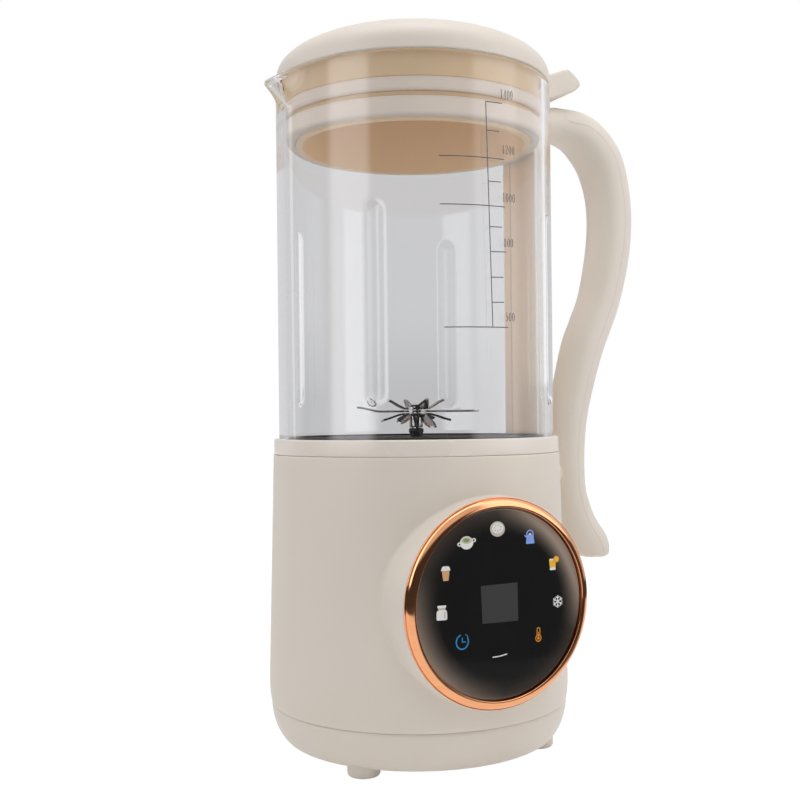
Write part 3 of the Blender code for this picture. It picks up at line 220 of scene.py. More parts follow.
def distance_of(tree, x, y):
    """How far a point lies from an axis: sqrt(x^2 + y^2)."""
    squares = maths(tree, "ADD", times(tree, x, x), times(tree, y, y))
    return maths(tree, "SQRT", squares)


def about_axis(tree):
    """Azimuth, distance and height of a point about the cup's axis. The azimuth is arctan2(x, -y)."""
    x, y, z = less(tree, own_place(tree), AXIS)
    return maths(tree, "ARCTAN2", x, times(tree, y, -1.0)), distance_of(tree, x, y), z


def inside(tree, value, low, high, soft):
    """1 within the two limits, falling to 0 over a soft edge outside each."""
    rise = remap(tree, value, low - soft, low)
    return times(tree, rise, remap(tree, value, high, high + soft, 1.0, 0.0))


print("cream as linear light:", ["%.3f" % value for value in screen(228, 221, 208)])

# %% [markdown]
# The machine stands on white. The sky is white to the camera and a light grey to every other ray, so that the
# cup reads a shade darker than the paper behind it.

# %% Sky
SKY_TO_CAMERA = 1.0
SKY_TO_GLASS = 0.62
SKY_TO_MATT = 0.294

world = bpy.data.worlds.new("studio")
bpy.context.scene.world = world
world.use_nodes = True
tree = world.node_tree
tree.nodes.clear()
path = node(tree, "LightPath")
paper = node(tree, "Background", Color=(1, 1, 1, 1), Strength=SKY_TO_CAMERA)
dimmed = maths(tree, "MULTIPLY_ADD", path.outputs["Is Diffuse Ray"], SKY_TO_MATT - SKY_TO_GLASS, SKY_TO_GLASS)
room = node(tree, "Background", Color=screen(252, 251, 254), Strength=dimmed)
mixed(tree, path.outputs["Is Camera Ray"], room, paper, node(tree, "OutputWorld"))
shown = (SKY_TO_CAMERA, SKY_TO_GLASS, SKY_TO_MATT)
print("sky: %.2f to the camera, %.2f to the glass, %.2f to matt surfaces" % shown)

# %% [markdown]
# The floor is a wide sheet of white paper. Seen directly it is left almost as bright as the sky, so that it has
# no horizon, and about an eighth of its real shading stays for a faint contact shadow under the feet. A mirror
# sees it bright, but for a dark patch before the panel, as if a black table's edge began there. The renderer
# counts a ray that went through glass as glossy too, so such rays are taken off the mirrors' share again.

# %% Floor
FLOOR_REACH = 3.0
FLOOR_SHADE_SHARE = 0.12
FLOOR_TO_CAMERA = 1.12
FLOOR_TO_MIRRORS = 0.95
ROOM_GLOW = 0.05
DARK_SIDES, DARK_SOFT = (2, 56), 8
DARK_FROM, DARK_FADE = 145.0, 14.0


def blank_material(name):
    """A material with an empty node tree, and that tree."""
    made = bpy.data.materials.new(name)
    made.use_nodes = True
    made.node_tree.nodes.clear()
    return made, made.node_tree


paper_white, tree = blank_material("floor_paper")
path = node(tree, "LightPath")
fibre = node(tree, "TexNoise", Vector=own_place(tree), Scale=60.0, Detail=4.0)
tone = between(tree, fibre.outputs["Fac"], screen(250, 250, 250), screen(254, 254, 254))
shaded = node(tree, "BsdfDiffuse", Color=tone)
seen = maths(tree, "MULTIPLY_ADD", path.outputs["Is Camera Ray"], FLOOR_TO_CAMERA - SKY_TO_GLASS, SKY_TO_GLASS)
turn, far, _ = about_axis(tree)
patch_start = remap(tree, far, DARK_FROM / MM, (DARK_FROM + DARK_FADE) / MM)
dark_patch = times(tree, inside(tree, turn, *np.radians([*DARK_SIDES, DARK_SOFT])), patch_start)
bright, drop = FLOOR_TO_MIRRORS - SKY_TO_GLASS, ROOM_GLOW - FLOOR_TO_MIRRORS
mirrored_floor = maths(tree, "MULTIPLY_ADD", dark_patch, drop, bright)
thrown_back = maths(tree, "SUBTRACT", path.outputs["Is Glossy Ray"], path.outputs["Is Transmission Ray"])
seen = maths(tree, "MULTIPLY_ADD", maths(tree, "MAXIMUM", thrown_back, 0.0), mirrored_floor, seen)
glow = node(tree, "Emission", Color=(1, 1, 1, 1), Strength=seen)
lit = times(tree, maths(tree, "SUBTRACT", 1.0, path.outputs["Is Diffuse Ray"]), 1 - FLOOR_SHADE_SHARE)
mixed(tree, lit, shaded, glow, node(tree, "OutputMaterial"))

sheet = bpy.data.meshes.new("floor")
square = FLOOR_REACH * np.array([(-1, -1, 0), (1, -1, 0), (1, 1, 0), (-1, 1, 0)])
sheet.from_pydata(square.tolist(), [], [(0, 1, 2, 3)])
sheet.materials.append(paper_white)
floor = placed("floor", sheet)
print("floor: %.0f m across" % (2 * FLOOR_REACH))

# %% [markdown]
# Five soft boxes light the machine: a large one in front and above, a narrow one at the right, one overhead and
# two behind. Each is an area lamp that faces the machine's middle. The glass doesn't show them, because a lamp
# seen through a clear cup would be a hard white square.

# %% Soft boxes
MIDDLE = np.array([0.0, 0.0, 150.0])


def aimed(azimuth, elevation, distance):
    """Stands a plane at an angle round the machine, as seen from its middle, and turns its face to it."""
    a, e = radians(azimuth), radians(elevation)
    way = np.array([np.sin(a) * np.cos(e), -np.cos(a) * np.cos(e), np.sin(e)])
    spot = Matrix.Translation((AXIS + MIDDLE + way * distance) / MM)
    return spot @ Matrix.Rotation(a, 4, "Z") @ Matrix.Rotation(pi / 2 - e, 4, "X")


def soft_box(name, azimuth, elevation, distance, wide, tall, power):
    """An area lamp of a size in millimetres and a power in watts."""
    lamp = bpy.data.lights.new(name, "AREA")
    lamp.shape = "RECTANGLE"
    lamp.size, lamp.size_y = wide / MM, tall / MM
    lamp.energy = power
    holder = placed(name, lamp)
    holder.matrix_world = aimed(azimuth, elevation, distance)
    holder.visible_camera = False
    holder.visible_transmission = False


SOFT_BOXES = [
    ("front_box", -20, 35, 1200, 900, 700, 0.84), ("right_box", 55, 15, 1000, 300, 900, 1.85),
    ("top_box", -20, 80, 900, 900, 900, 5.3), ("right_back_box", 110, 20, 1000, 600, 900, 0.55),
    ("left_back_box", -130, 20, 1000, 600, 900, 1.9),
]
for settings in SOFT_BOXES:
    soft_box(*settings)
print("studio:", len(SOFT_BOXES), "soft boxes")

# %% [markdown]
# Copper, knife and glass also need something dark to show. A real studio has the dark room behind the camera,
# with the soft boxes as bright windows in it. Here that room is one round curtain that leaves only the back
# open. Only rays that have met a mirror see it, by the Light Path node, so it darkens no shadow and no view
# through the glass. The strength at a point is the largest of the windows' glows, each faded in over its edges.

# %% Curtain for the reflections
CURTAIN_R, CURTAIN_FOOT, CURTAIN_TOP = 240.0, 0.5, 900.0
CURTAIN_SIDES, CURTAIN_FADE = (-132, 116), 14
CURTAIN_COLUMNS = 63
# Each window: its left and right side, its foot and top, its glow, and how soft its sides and its ends are
WINDOWS = [
    (-88, -62, 128, 900, 2.5, 8, 16), (20, 54, 128, 900, 1.8, 9, 14), (-132, 116, 205, 900, 0.75, 1, 50),
    (45, 106, 165, 900, 0.95, 10, 20), (-132, -4, 0, 36, 0.95, 8, 5), (60, 116, 0, 36, 0.95, 8, 5),
    (62, 116, 68, 900, 0.7, 8, 8),
]


def on_circle(radius, angle, height):
    """Points at an angle round the cup's axis and a height: x = r cos a, y = r sin a, as whole arrays."""
    return np.stack(np.broadcast_arrays(radius * np.cos(angle), radius * np.sin(angle), height), -1)


round_it = np.linspace(*np.radians(CURTAIN_SIDES), CURTAIN_COLUMNS) - pi / 2
places = on_circle(CURTAIN_R, round_it, np.array([[CURTAIN_FOOT], [CURTAIN_TOP]]))
cells = [(k, k + 1, k + 1 + CURTAIN_COLUMNS, k + CURTAIN_COLUMNS) for k in range(CURTAIN_COLUMNS - 1)]
cloth = bpy.data.meshes.new("curtain")
cloth.from_pydata(((places.reshape(-1, 3) + AXIS) / MM).tolist(), [], cells)
light, tree = blank_material("curtain")
turn, _, z = about_axis(tree)
strength = ROOM_GLOW
for left, right, low_z, high_z, window_glow, soft, soft_z in WINDOWS:
    share = inside(tree, turn, *np.radians([left, right, soft]))
    share = times(tree, share, inside(tree, z, low_z / MM, high_z / MM, soft_z / MM))
    strength = maths(tree, "MAXIMUM", strength, times(tree, share, window_glow))
left, right = CURTAIN_SIDES
ends = inside(tree, turn, *np.radians([left + CURTAIN_FADE, right - CURTAIN_FADE, CURTAIN_FADE]))
fade = times(tree, maths(tree, "SUBTRACT", strength, SKY_TO_GLASS), ends)
shine = node(tree, "Emission", Color=screen(252, 251, 254), Strength=maths(tree, "ADD", fade, SKY_TO_GLASS))
thrown_back = maths(tree, "GREATER_THAN", node(tree, "LightPath").outputs["Glossy Depth"], 0.5)
mixed(tree, thrown_back, node(tree, "BsdfTransparent"), shine, node(tree, "OutputMaterial"))
cloth.materials.append(light)
curtain = placed("curtain", cloth)
curtain.visible_camera = curtain.visible_diffuse = curtain.visible_shadow = False
print("curtain: %.0f mm from the axis, %d windows" % (CURTAIN_R, len(WINDOWS)))

# %% [markdown]
# ## Finishes
#
# Moulded plastic isn't one flat colour. Its mould was spark-eroded, which leaves a fine grain, and the colour
# drifts a little over a hand's breadth where the melt cooled. Several plastics share that, so it is one shader
# group: a fine height for the grain and a slow mask for the drift. Each material then places its own colours.

# %% Group: moulded grain


def new_group(name, inputs, outputs):
    """An empty node group with vector or number inputs, and number outputs."""
    group = bpy.data.node_groups.new(name, "ShaderNodeTree")
    for label, default in inputs:
        kind = "NodeSocketVector" if default is None else "NodeSocketFloat"
        socket = group.interface.new_socket(label, in_out="INPUT", socket_type=kind)
        if default is not None:
            socket.default_value = default
    for label in outputs:
        group.interface.new_socket(label, in_out="OUTPUT", socket_type="NodeSocketFloat")
    return group, group.nodes.new("NodeGroupInput"), group.nodes.new("NodeGroupOutput")


sizes = [("Place", None), ("Grain", 1500.0), ("Drift", 14.0)]
moulded_grain, given, result = new_group("moulded_grain", sizes, ["Height", "Tone"])
place = given.outputs["Place"]
fine = node(moulded_grain, "TexNoise", Vector=place, Scale=given.outputs["Grain"], Detail=3.0, Roughness=0.6)
slow = node(moulded_grain, "TexNoise", Vector=place, Scale=given.outputs["Drift"], Detail=2.0, Roughness=0.5)
moulded_grain.links.new(fine.outputs["Fac"], result.inputs["Height"])
moulded_grain.links.new(remap(moulded_grain, slow.outputs["Fac"], 0.3, 0.7), result.inputs["Tone"])
print("group:", moulded_grain.name)

# %% [markdown]
# Turned and rolled metal shows the tool's path: rings on a turned plate, straight lines on a rolled blade. One
# group serves both. It stretches noise along the path, and the path is either the angle about the cup's axis
# or a straight line, as its Round input says. A real machinist's marks are deeper here and there, so a second,
# slower noise fades them.

# %% Group: tool marks
tool_marks, given, result = new_group(
    "tool_marks", [("Place", None), ("Across", 2500.0), ("Along", 60.0), ("Round", 1.0)], ["Height", "Tone"]
)
x, y, z = less(tool_marks, given.outputs["Place"], AXIS)
radius = distance_of(tool_marks, x, y)
angle = times(tool_marks, maths(tool_marks, "ARCTAN2", y, x), 0.02)
straight = maths(tool_marks, "SUBTRACT", 1.0, given.outputs["Round"])


def chosen(round_value, straight_value):
    """The round value where Round is 1 and the straight one where it is 0."""
    first = times(tool_marks, round_value, given.outputs["Round"])
    return maths(tool_marks, "MULTIPLY_ADD", straight_value, straight, first)


across = times(tool_marks, chosen(radius, x), given.outputs["Across"])
along = times(tool_marks, chosen(angle, y), given.outputs["Along"])
depth = times(tool_marks, z, given.outputs["Across"])
path = node(tool_marks, "CombineXYZ", X=across, Y=along, Z=depth)
lines = node(tool_marks, "TexNoise", Vector=path.outputs[0], Scale=1.0, Detail=2.0)
faded = node(tool_marks, "TexNoise", Vector=given.outputs["Place"], Scale=90.0, Detail=1.0)
height = times(tool_marks, lines.outputs["Fac"], faded.outputs["Fac"])
tool_marks.links.new(height, result.inputs["Height"])
tool_marks.links.new(remap(tool_marks, lines.outputs["Fac"], 0.35, 0.65), result.inputs["Tone"])
print("group:", tool_marks.name)

# %% [markdown]
# Glass and gloss black are never quite clean. Wiping leaves long soft smears, and a few of them are enough:
# noise pulled out along one direction, cut off low, so most of the surface stays clear.

# %% Group: wiping smears
wiping_smears, given, result = new_group("wiping_smears", [("Place", None), ("Size", 30.0)], ["Mask"])
pulled = node(wiping_smears, "Mapping", Vector=given.outputs["Place"])
feed(wiping_smears, pulled, Scale=(1.0, 1.0, 0.25), Rotation=(0.4, 0.3, 0))
smear = node(wiping_smears, "TexNoise", Vector=pulled.outputs[0], Scale=given.outputs["Size"])
feed(wiping_smears, smear, Detail=5.0, Distortion=0.8)
wiping_smears.links.new(remap(wiping_smears, smear.outputs["Fac"], 0.5, 0.8), result.inputs["Mask"])
print("group:", wiping_smears.name)

# %% [markdown]
# A plastic finish needs six values: its lighter and darker colour, its least and most roughness, and the grain's
# fineness and depth. The grain goes through a Bump node and the drift mixes the colours and the roughness. The
# outside of the lid's plug gets painted shade above the lower band, where the dome shades it, so height and
# distance decide between two tans there.
# Real displacement would cost millions of faces for a grain of a few hundredths of a millimetre.

# %% Plastics
paint = {}


def use_group(tree, group, **settings):
    """Places a shader group on the piece's own coordinates, with its other inputs set."""
    made = node(tree, "Group", node_tree=group)
    return feed(tree, made, Place=own_place(tree), **settings)


def new_finish(name):
    """A new material under its slot's name, as its node tree and its Principled shader."""
    finish = bpy.data.materials.new(name)
    finish.use_nodes = True
    paint[name] = finish
    return finish.node_tree, finish.node_tree.nodes["Principled BSDF"]


def surfaced(tree, shader, effect, light, dark, smooth, rough, strength, depth):
    """Lets a group's Tone mix two colours and two roughnesses, and its Height lift the surface."""
    tone = effect.outputs["Tone"]
    bump = node(tree, "Bump", Strength=strength, Distance=depth, Height=effect.outputs["Height"])
    colour = between(tree, tone, screen(*dark), screen(*light))
    feed(tree, shader, Base_Color=colour, Roughness=remap(tree, tone, 0.0, 1.0, rough, smooth), Normal=bump.outputs[0])


def plastic(name, light, dark, smooth, rough, grain=1500.0, depth=0.00002, coat=0.0):
    """A moulded or pressed finish: colour and roughness drift slowly, and a fine grain lifts the surface."""
    tree, shader = new_finish(name)
    effect = use_group(tree, moulded_grain, Grain=grain)
    surfaced(tree, shader, effect, light, dark, smooth, rough, 0.6, depth)
    return feed(tree, shader, Coat_Weight=coat, Coat_Roughness=0.2)


plastic("cream_plastic", (237, 228, 216), (234, 224, 211), 0.42, 0.50)
plastic("collar_plastic", (246, 237, 226), (243, 233, 221), 0.26, 0.33, depth=0.00001, coat=0.2)
plug = plastic("plug_plastic", (250, 218, 176), (246, 212, 168), 0.36, 0.44)
tree = paint["plug_plastic"].node_tree
_, far, z = about_axis(tree)
# Painted shade: above the lower band and outside the neck the plug turns a darker tan, as the dome shades it.
DARK_PLUG_Z, DARK_PLUG_R = (0.266, 0.272), (0.050, 0.0515)
above, outside = remap(tree, z, *DARK_PLUG_Z), remap(tree, far, *DARK_PLUG_R)
painted_lid_shade = times(tree, above, outside)
mouth = plug.inputs["Base Color"].links[0].from_socket
feed(tree, plug, Base_Color=between(tree, painted_lid_shade, mouth, screen(228, 196, 153)))
plastic("silicone", (235, 220, 207), (231, 215, 201), 0.52, 0.62, grain=2600.0)
plastic("dark_rubber", (36, 35, 35), (27, 26, 26), 0.38, 0.50, grain=2200.0)
plastic("black_plastic", (42, 42, 43), (33, 33, 34), 0.42, 0.55, grain=1200.0, depth=0.00004)
plastic("carbon", (48, 46, 45), (36, 35, 34), 0.60, 0.78, grain=3500.0, depth=0.00003)
plastic("ferrite", (58, 57, 58), (45, 44, 46), 0.45, 0.60, grain=2800.0, depth=0.00003)
print("plastics:", sorted(paint))

# %% [markdown]
# Metals take their look from roughness more than from colour. The plate and the blades are stainless steel with
# tool marks, the trim ring is plated plastic with a rose-copper tint, and the motor's parts behind the walls
# are zinc-plated steel, bronze and enamelled copper wire. Nobody sees those until a wall is taken off, but each
# still gets its finish. At a low slant a metal plate would mirror nothing but the bright room, so the plate's
# Metallic falls to 0 there and it stays dark.

# %% Metals


def metal(name, light, dark, smooth, rough, across=2500.0, along=60.0, round_path=1.0, depth=0.00001):
    """A metal with tool marks: the marks shade its colour, its roughness and its height."""
    tree, shader = new_finish(name)
    effect = use_group(tree, tool_marks, Across=across, Along=along, Round=round_path)
    surfaced(tree, shader, effect, light, dark, smooth, rough, 0.5, depth)
    return feed(tree, shader, Metallic=1.0)


metal("knife_steel", (170, 168, 166), (150, 149, 147), 0.10, 0.20, across=1800.0, along=200.0, round_path=0.0)
shader = metal("plate_steel", (112, 110, 112), (92, 91, 93), 0.50, 0.62)
tree = paint["plate_steel"].node_tree
slant = node(tree, "LayerWeight", Blend=0.5).outputs["Facing"]
feed(tree, shader, Metallic=remap(tree, slant, 0.80, 0.96, 1.0, 0.0), Specular_IOR_Level=0.0)
metal("zinc_steel", (190, 192, 194), (160, 162, 165), 0.34, 0.46, across=900.0, along=300.0, round_path=0.0)
metal("copper_plating", (252, 180, 132), (249, 175, 126), 0.08, 0.13, across=500.0, depth=0.000002)
metal("copper_wire", (214, 122, 70), (150, 76, 40), 0.25, 0.42, across=3500.0, along=5.0, depth=0.0001)
metal("bronze", (196, 160, 110), (170, 134, 88), 0.30, 0.42)
print("metals: knife, plate, zinc, copper and bronze")

# %% [markdown]
# The cup is plain pressed glass. Its Transmission Weight stays a plain 1, its roughness is near zero but for
# the smears, and the lamps' rays pass it through a Transparent shader, which the Light Path node picks out.
# Without that, everything inside the cup would stand in the glass's own shadow. A ray that the flutes throw to
# and fro inside the wall leaves it the same way after a few turns, because it would end black otherwise.

# %% Clear glass
tree, shader = new_finish("clear_glass")
smears = use_group(tree, wiping_smears, Size=22.0)
GLASS_TINT = (0.975, 0.981, 0.978, 1)
feed(tree, shader, Roughness=remap(tree, smears.outputs["Mask"], 0.0, 1.0, 0.0, 0.05), Base_Color=GLASS_TINT)
feed(tree, shader, Transmission_Weight=1.0, IOR=1.48)
path = node(tree, "LightPath")
open_air = node(tree, "BsdfTransparent", Color=(0.98, 0.985, 0.985, 1))
caught = maths(tree, "GREATER_THAN", path.outputs["Ray Depth"], 5.5)
caught = maths(tree, "MAXIMUM", caught, maths(tree, "GREATER_THAN", path.outputs["Glossy Depth"], 1.5))
let_through = maths(tree, "MAXIMUM", caught, path.outputs["Is Shadow Ray"])
mixed(tree, let_through, shader, open_air, tree.nodes["Material Output"])
print("glass: IOR %.2f" % shader.inputs["IOR"].default_value)

# %% [markdown]
# The control panel is a black glass lens. Black glass has almost no colour of its own: it is its reflections
# that model the dome, so its roughness is low and only the smears break it. Its rim is a painted reflection:
# the base colour turns a warm grey towards the rim, at two sides more than at the others, and most at the upper
# right. A thin tan sheet between the strip behind the cup and the glass is painted shade for the strip's shaded
# inner face, with a fine darker line of painted shadow for a groove. The inks are small matt surfaces, and the
# circuit boards inside carry copper tracks under green lacquer.

# %% Panel glass, inks and boards
tree, shader = new_finish("panel_glass")
smears = use_group(tree, wiping_smears, Size=45.0)
feed(tree, shader, Roughness=remap(tree, smears.outputs["Mask"], 0.0, 1.0, 0.05, 0.14))
wiped = between(tree, smears.outputs["Mask"], screen(24, 24, 24), screen(27, 27, 26))
# Painted reflection: the base colour lightens to a warm grey towards the lens's rim, most at the upper right and lower
# left.
REFLECTION_FROM, REFLECTION_TO, REFLECTION_POWER = POD_R - 15, POD_R - 4, 2.2
REFLECTION_TURN, BRIGHT_SIDE_TURN = radians(35), radians(42)
x, _, z = less(tree, own_place(tree), (AXIS[0], 0, POD_Z))
rim = remap(tree, distance_of(tree, x, z), REFLECTION_FROM / MM, REFLECTION_TO / MM)
rim = maths(tree, "POWER", rim, REFLECTION_POWER)
turn = maths(tree, "ARCTAN2", z, x)
wave = maths(tree, "COSINE", maths(tree, "MULTIPLY_ADD", turn, 2.0, -2 * REFLECTION_TURN))
thin = remap(tree, wave, -0.4, 1.0, 0.15, 1.0)
bright_side = remap(tree, maths(tree, "COSINE", maths(tree, "SUBTRACT", turn, BRIGHT_SIDE_TURN)), 0.3, 1.0, 1.0, 2.4)
painted_rim_reflection = times(tree, rim, thin, bright_side)
feed(tree, shader, Base_Color=between(tree, painted_rim_reflection, wiped, screen(164, 147, 133)))

# Painted shade: a tan sheet stands for the warm shade on the strip's inner face behind the glass, and a darker line at
# 10 degrees is a painted groove shadow.
tree, shader = new_finish("painted_shade_lining")
LINE_AT, LINE_HALF = radians(10.0), radians(0.45)
effect = use_group(tree, moulded_grain, Grain=1500.0)
x, y, _ = less(tree, own_place(tree), AXIS)
off = maths(tree, "ABSOLUTE", maths(tree, "SUBTRACT", maths(tree, "ARCTAN2", y, x), LINE_AT))
groove_shadow_mask = remap(tree, off, LINE_HALF * 0.5, LINE_HALF * 1.5, 1.0, 0.0)
tan = between(tree, effect.outputs["Tone"], screen(222, 188, 154), screen(227, 194, 160))
feed(tree, shader, Base_Color=between(tree, groove_shadow_mask, tan, screen(192, 152, 116)))
feed(tree, shader, Roughness=remap(tree, effect.outputs["Tone"], 0.0, 1.0, 0.44, 0.36))

INKS = {
    "scale_ink": ((92, 90, 92), (80, 78, 80)),
    "display_glass": ((62, 62, 62), (58, 58, 59)),
    "white_ink": ((244, 243, 240), (236, 235, 231)),
    "grain_ink": ((214, 205, 190), (198, 188, 172)),
    "green_ink": ((140, 176, 96), (112, 150, 74)),
    "blue_ink": ((150, 180, 246), (132, 164, 240)),
    "cyan_ink": ((30, 152, 216), (22, 136, 200)),
    "orange_ink": ((240, 158, 32), (226, 140, 24)),
    "yellow_ink": ((252, 206, 40), (246, 190, 26)),
    "tan_ink": ((226, 180, 130), (212, 164, 112)),
}
for name, (light, dark) in INKS.items():
    plastic(name, light, dark, 0.35, 0.5, grain=4000.0, depth=0.000004)

tree, shader = new_finish("circuit_board")
BLACK, WHITE = (0, 0, 0, 1), (1, 1, 1, 1)
tracks = node(tree, "TexBrick", Vector=own_place(tree), Scale=180.0, Mortar_Size=0.03)
feed(tree, tracks, Color1=BLACK, Color2=BLACK, Mortar=WHITE)
lacquer = between(tree, tracks.outputs["Color"], screen(28, 92, 52), screen(64, 128, 72))
feed(tree, shader, Base_Color=lacquer, Roughness=remap(tree, tracks.outputs["Color"], 0.0, 1.0, 0.45, 0.3))
print("inks:", len(INKS))

# %% [markdown]
# ## From arrays to pieces
#
# Every new skin is a grid of points: rows along a profile, columns round or across it. A grid that wraps both
# ways is a closed solid, and a row that shrinks to one point is a pole. The helpers below turn grids into closed
# solids with their faces outwards. Loops over vertices would do the same in a hundred times the time.

# %% Solids from grids


def grid_faces(rows, columns, wrap_rows, wrap_columns):
    """Four point numbers for each face: point (r, c) of the grid has the number r times columns plus c."""
    r = np.arange(rows if wrap_rows else rows - 1)[:, None]
    c = np.arange(columns if wrap_columns else columns - 1)[None, :]
    below, right = (r + 1) % rows, (c + 1) % columns
    ring = [r * columns + c, r * columns + right, below * columns + right, below * columns + c]
    return np.stack(ring, -1).reshape(-1, 4)


def closed(points, faces):
    """Equal points become one, faces that lost a corner become triangles, and the whole faces outwards.

    The signed volume is the sum over the faces of a . (b x c) / 6. Where it is negative every face is turned.
    """
    _, first, number = np.unique(np.round(points * 5000), axis=0, return_index=True, return_inverse=True)
    faces = number.reshape(-1)[faces]
    same = faces == np.roll(faces, 1, axis=1)
    quads, thin = faces[same.sum(1) == 0], same.sum(1) == 1
    triangles = faces[thin][~same[thin]].reshape(-1, 3)
    points = points[first]
    halves = np.concatenate([quads[:, :3], quads[:, [0, 2, 3]], triangles])
    a, b, c = points[halves].transpose(1, 0, 2)
    if np.einsum("ij,ij->", a, np.cross(b, c)) < 0:
        quads, triangles = quads[:, ::-1], triangles[:, ::-1]
    return points, quads, triangles


def solid(grid, wrap_rows=True, wrap_columns=True):
    """One closed surface from a grid of points, rows by columns by xyz."""
    rows, columns = grid.shape[:2]
    return closed(grid.reshape(-1, 3), grid_faces(rows, columns, wrap_rows, wrap_columns))


def skins(outer, inner, faces):
    """Faces on the outer points, the same ones turned round on the inner points, and a strip along each open edge.

    An edge is open where no other face runs along it the other way.
    """
    count = len(outer)
    edges = np.stack([faces, np.roll(faces, -1, axis=1)], -1).reshape(-1, 2)
    there, back = edges[:, 0] * count + edges[:, 1], edges[:, 1] * count + edges[:, 0]
    a, b = edges[~np.isin(there, back)].T
    strips = np.stack([b, a, a + count, b + count], 1)
    return closed(np.concatenate([outer, inner]), np.concatenate([faces, faces[:, ::-1] + count, strips]))


def wall(outer, inner, keep=None, wrap_columns=True):
    """A wall between two grids of one size. keep leaves some faces out, and strips close every open edge."""
    rows, columns = outer.shape[:2]
    faces = grid_faces(rows, columns, False, wrap_columns)
    if keep is not None:
        faces = faces[keep.reshape(-1)]
    return skins(outer.reshape(-1, 3), inner.reshape(-1, 3), faces)


print("a wrapped grid of 3 by 4 points has", len(grid_faces(3, 4, True, True)), "faces")

# %% [markdown]
# A piece joins its solids, moves them from the cup's axis to the frame's own zero, and shades smoothly but for
# edges past 35 degrees. It rides on a body, takes its finish from one of the record's slots, and may stand for
# nodes of the frame, which are then hidden.


def piece(name, solids, finish, body="machine", stands_for=(), sharp=35):
    """One piece from closed solids: its mesh, its finish, its body and slot, and the nodes that it stands for."""
    starts, loops, shift, ends = [], [], 0, 0
    for points, quads, triangles in solids:
        for faces in (quads, triangles):
            loops.append((faces + shift).ravel())
            starts.append(ends + np.arange(len(faces)) * faces.shape[1])
            ends += faces.size
        shift += len(points)
    places = np.concatenate([points for points, _, _ in solids])
    loops, starts = np.concatenate(loops), np.concatenate(starts)
    mesh = bpy.data.meshes.new(name)
    mesh.vertices.add(len(places))
    mesh.vertices.foreach_set("co", ((places + AXIS) / MM).ravel())
    mesh.loops.add(len(loops))
    mesh.loops.foreach_set("vertex_index", loops.astype(np.int32))
    mesh.polygons.add(len(starts))
    mesh.polygons.foreach_set("loop_start", starts.astype(np.int32))
    mesh.update(calc_edges=True)
    mesh.validate()
    mesh.shade_smooth()
    mesh.set_sharp_from_angle(angle=radians(sharp))
    mesh.materials.append(paint[finish])
    made = placed(name, mesh)
    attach(made, body)
    if stands_for:
        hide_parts(*stands_for)
    print("%s: %d points, %d faces" % (name, len(places), len(starts)))
    return made


# %% [markdown]
# Most pieces here are turned: a profile of radius and height carried round an axis. No moulded edge is sharp,
# so a helper first rounds a profile's corners. A true arc would need its centre worked out for each corner. A
# quadratic curve only needs the corner and a reach along both sides, and at under a millimetre nobody sees the
# difference.

# %% Turned forms
TURNS = 256


def softened(outline, reach, steps=6):
    """Rounds each corner of a closed outline, reach away from it on both sides.

    The curve is (1-t)^2 start + 2t(1-t) corner + t^2 end.
    """
    corner = np.asarray(outline, float)
    before, after = np.roll(corner, 1, axis=0) - corner, np.roll(corner, -1, axis=0) - corner
    back, ahead = (np.maximum(np.linalg.norm(v, axis=1, keepdims=True), 1e-9) for v in (before, after))
    reach = np.minimum(np.broadcast_to(reach, len(corner))[:, None], 0.45 * np.minimum(back, ahead))
    start, end = corner + before / back * reach, corner + after / ahead * reach
    t = np.linspace(0, 1, steps)[None, :, None]
    curve = (1 - t) ** 2 * start[:, None] + 2 * t * (1 - t) * corner[:, None] + t ** 2 * end[:, None]
    return curve.reshape(-1, 2)


def turned(outline, turns=TURNS, centre=(0, 0)):
    """Carries (radius, height) points round Z: x = r cos a, y = r sin a."""
    outline = np.asarray(outline, float)
    angle = np.linspace(0, 2 * pi, turns, endpoint=False)
    return on_circle(outline[:, :1], angle, outline[:, 1:]) + [*centre, 0]


def rounded(outline, reach, turns=TURNS):
    """A closed outline of (radius, height) with softened corners, turned into a solid."""
    return solid(turned(softened(outline, reach), turns))


def facing_front(grid):
    """Lays a form turned about Z down on the pod's axis: its height becomes the way out, towards -Y."""
    return np.stack([grid[..., 0], -grid[..., 2], POD_Z + grid[..., 1]], -1)


def superellipse(outer, inner, fullness, steps):
    """A quarter curve from outer to inner: across = cos(a)^(2/n), along = sin(a)^(2/n)."""
    a = np.linspace(0, pi / 2, steps)
    across, along = np.cos(a).clip(0) ** (2 / fullness), np.sin(a) ** (2 / fullness)
    radius = inner[0] + (outer[0] - inner[0]) * across
    return np.stack([radius, outer[1] + (inner[1] - outer[1]) * along], -1)


def eased(distance, radius):
    """How far a rounded edge falls back at a distance from its end: r - sqrt(r^2 - (r-d)^2), and 0 past r."""
    short = (radius - distance).clip(0, radius)
    return radius - np.sqrt(radius ** 2 - short ** 2)


print("a softened square has", len(softened([(0, 0), (1, 0), (1, 1), (0, 1)], 0.2)), "points")

# %% [markdown]
# ## The base
#
# The base is one moulding: a barely tapered drum, drawn in at its foot, with a wall of 2.4 mm and a window at
# the back for the power inlet. It could be a stretched cylinder with a Boolean cut. As a wall between two
# grids, the inlet's window is only a patch of faces that isn't kept, and its edges are closed by themselves.

# %% Base shell
BASE_WALL = 2.4
BELLY_RISE = 9.1
SEAM_STEP = 0.9
TOP_STEP = 2.7
EDGE_R = 0.4
inlet_low, inlet_high = corners("inlet_housing")
WINDOW_X = inlet_high[0] + 0.7
WINDOW_Z = (inlet_low[2] - 0.6, inlet_high[2] + 0.6)
SEAM_Z, SHELL_TOP = shell_low[2], shell_high[2]
BELLY_Z = SEAM_Z + BELLY_RISE


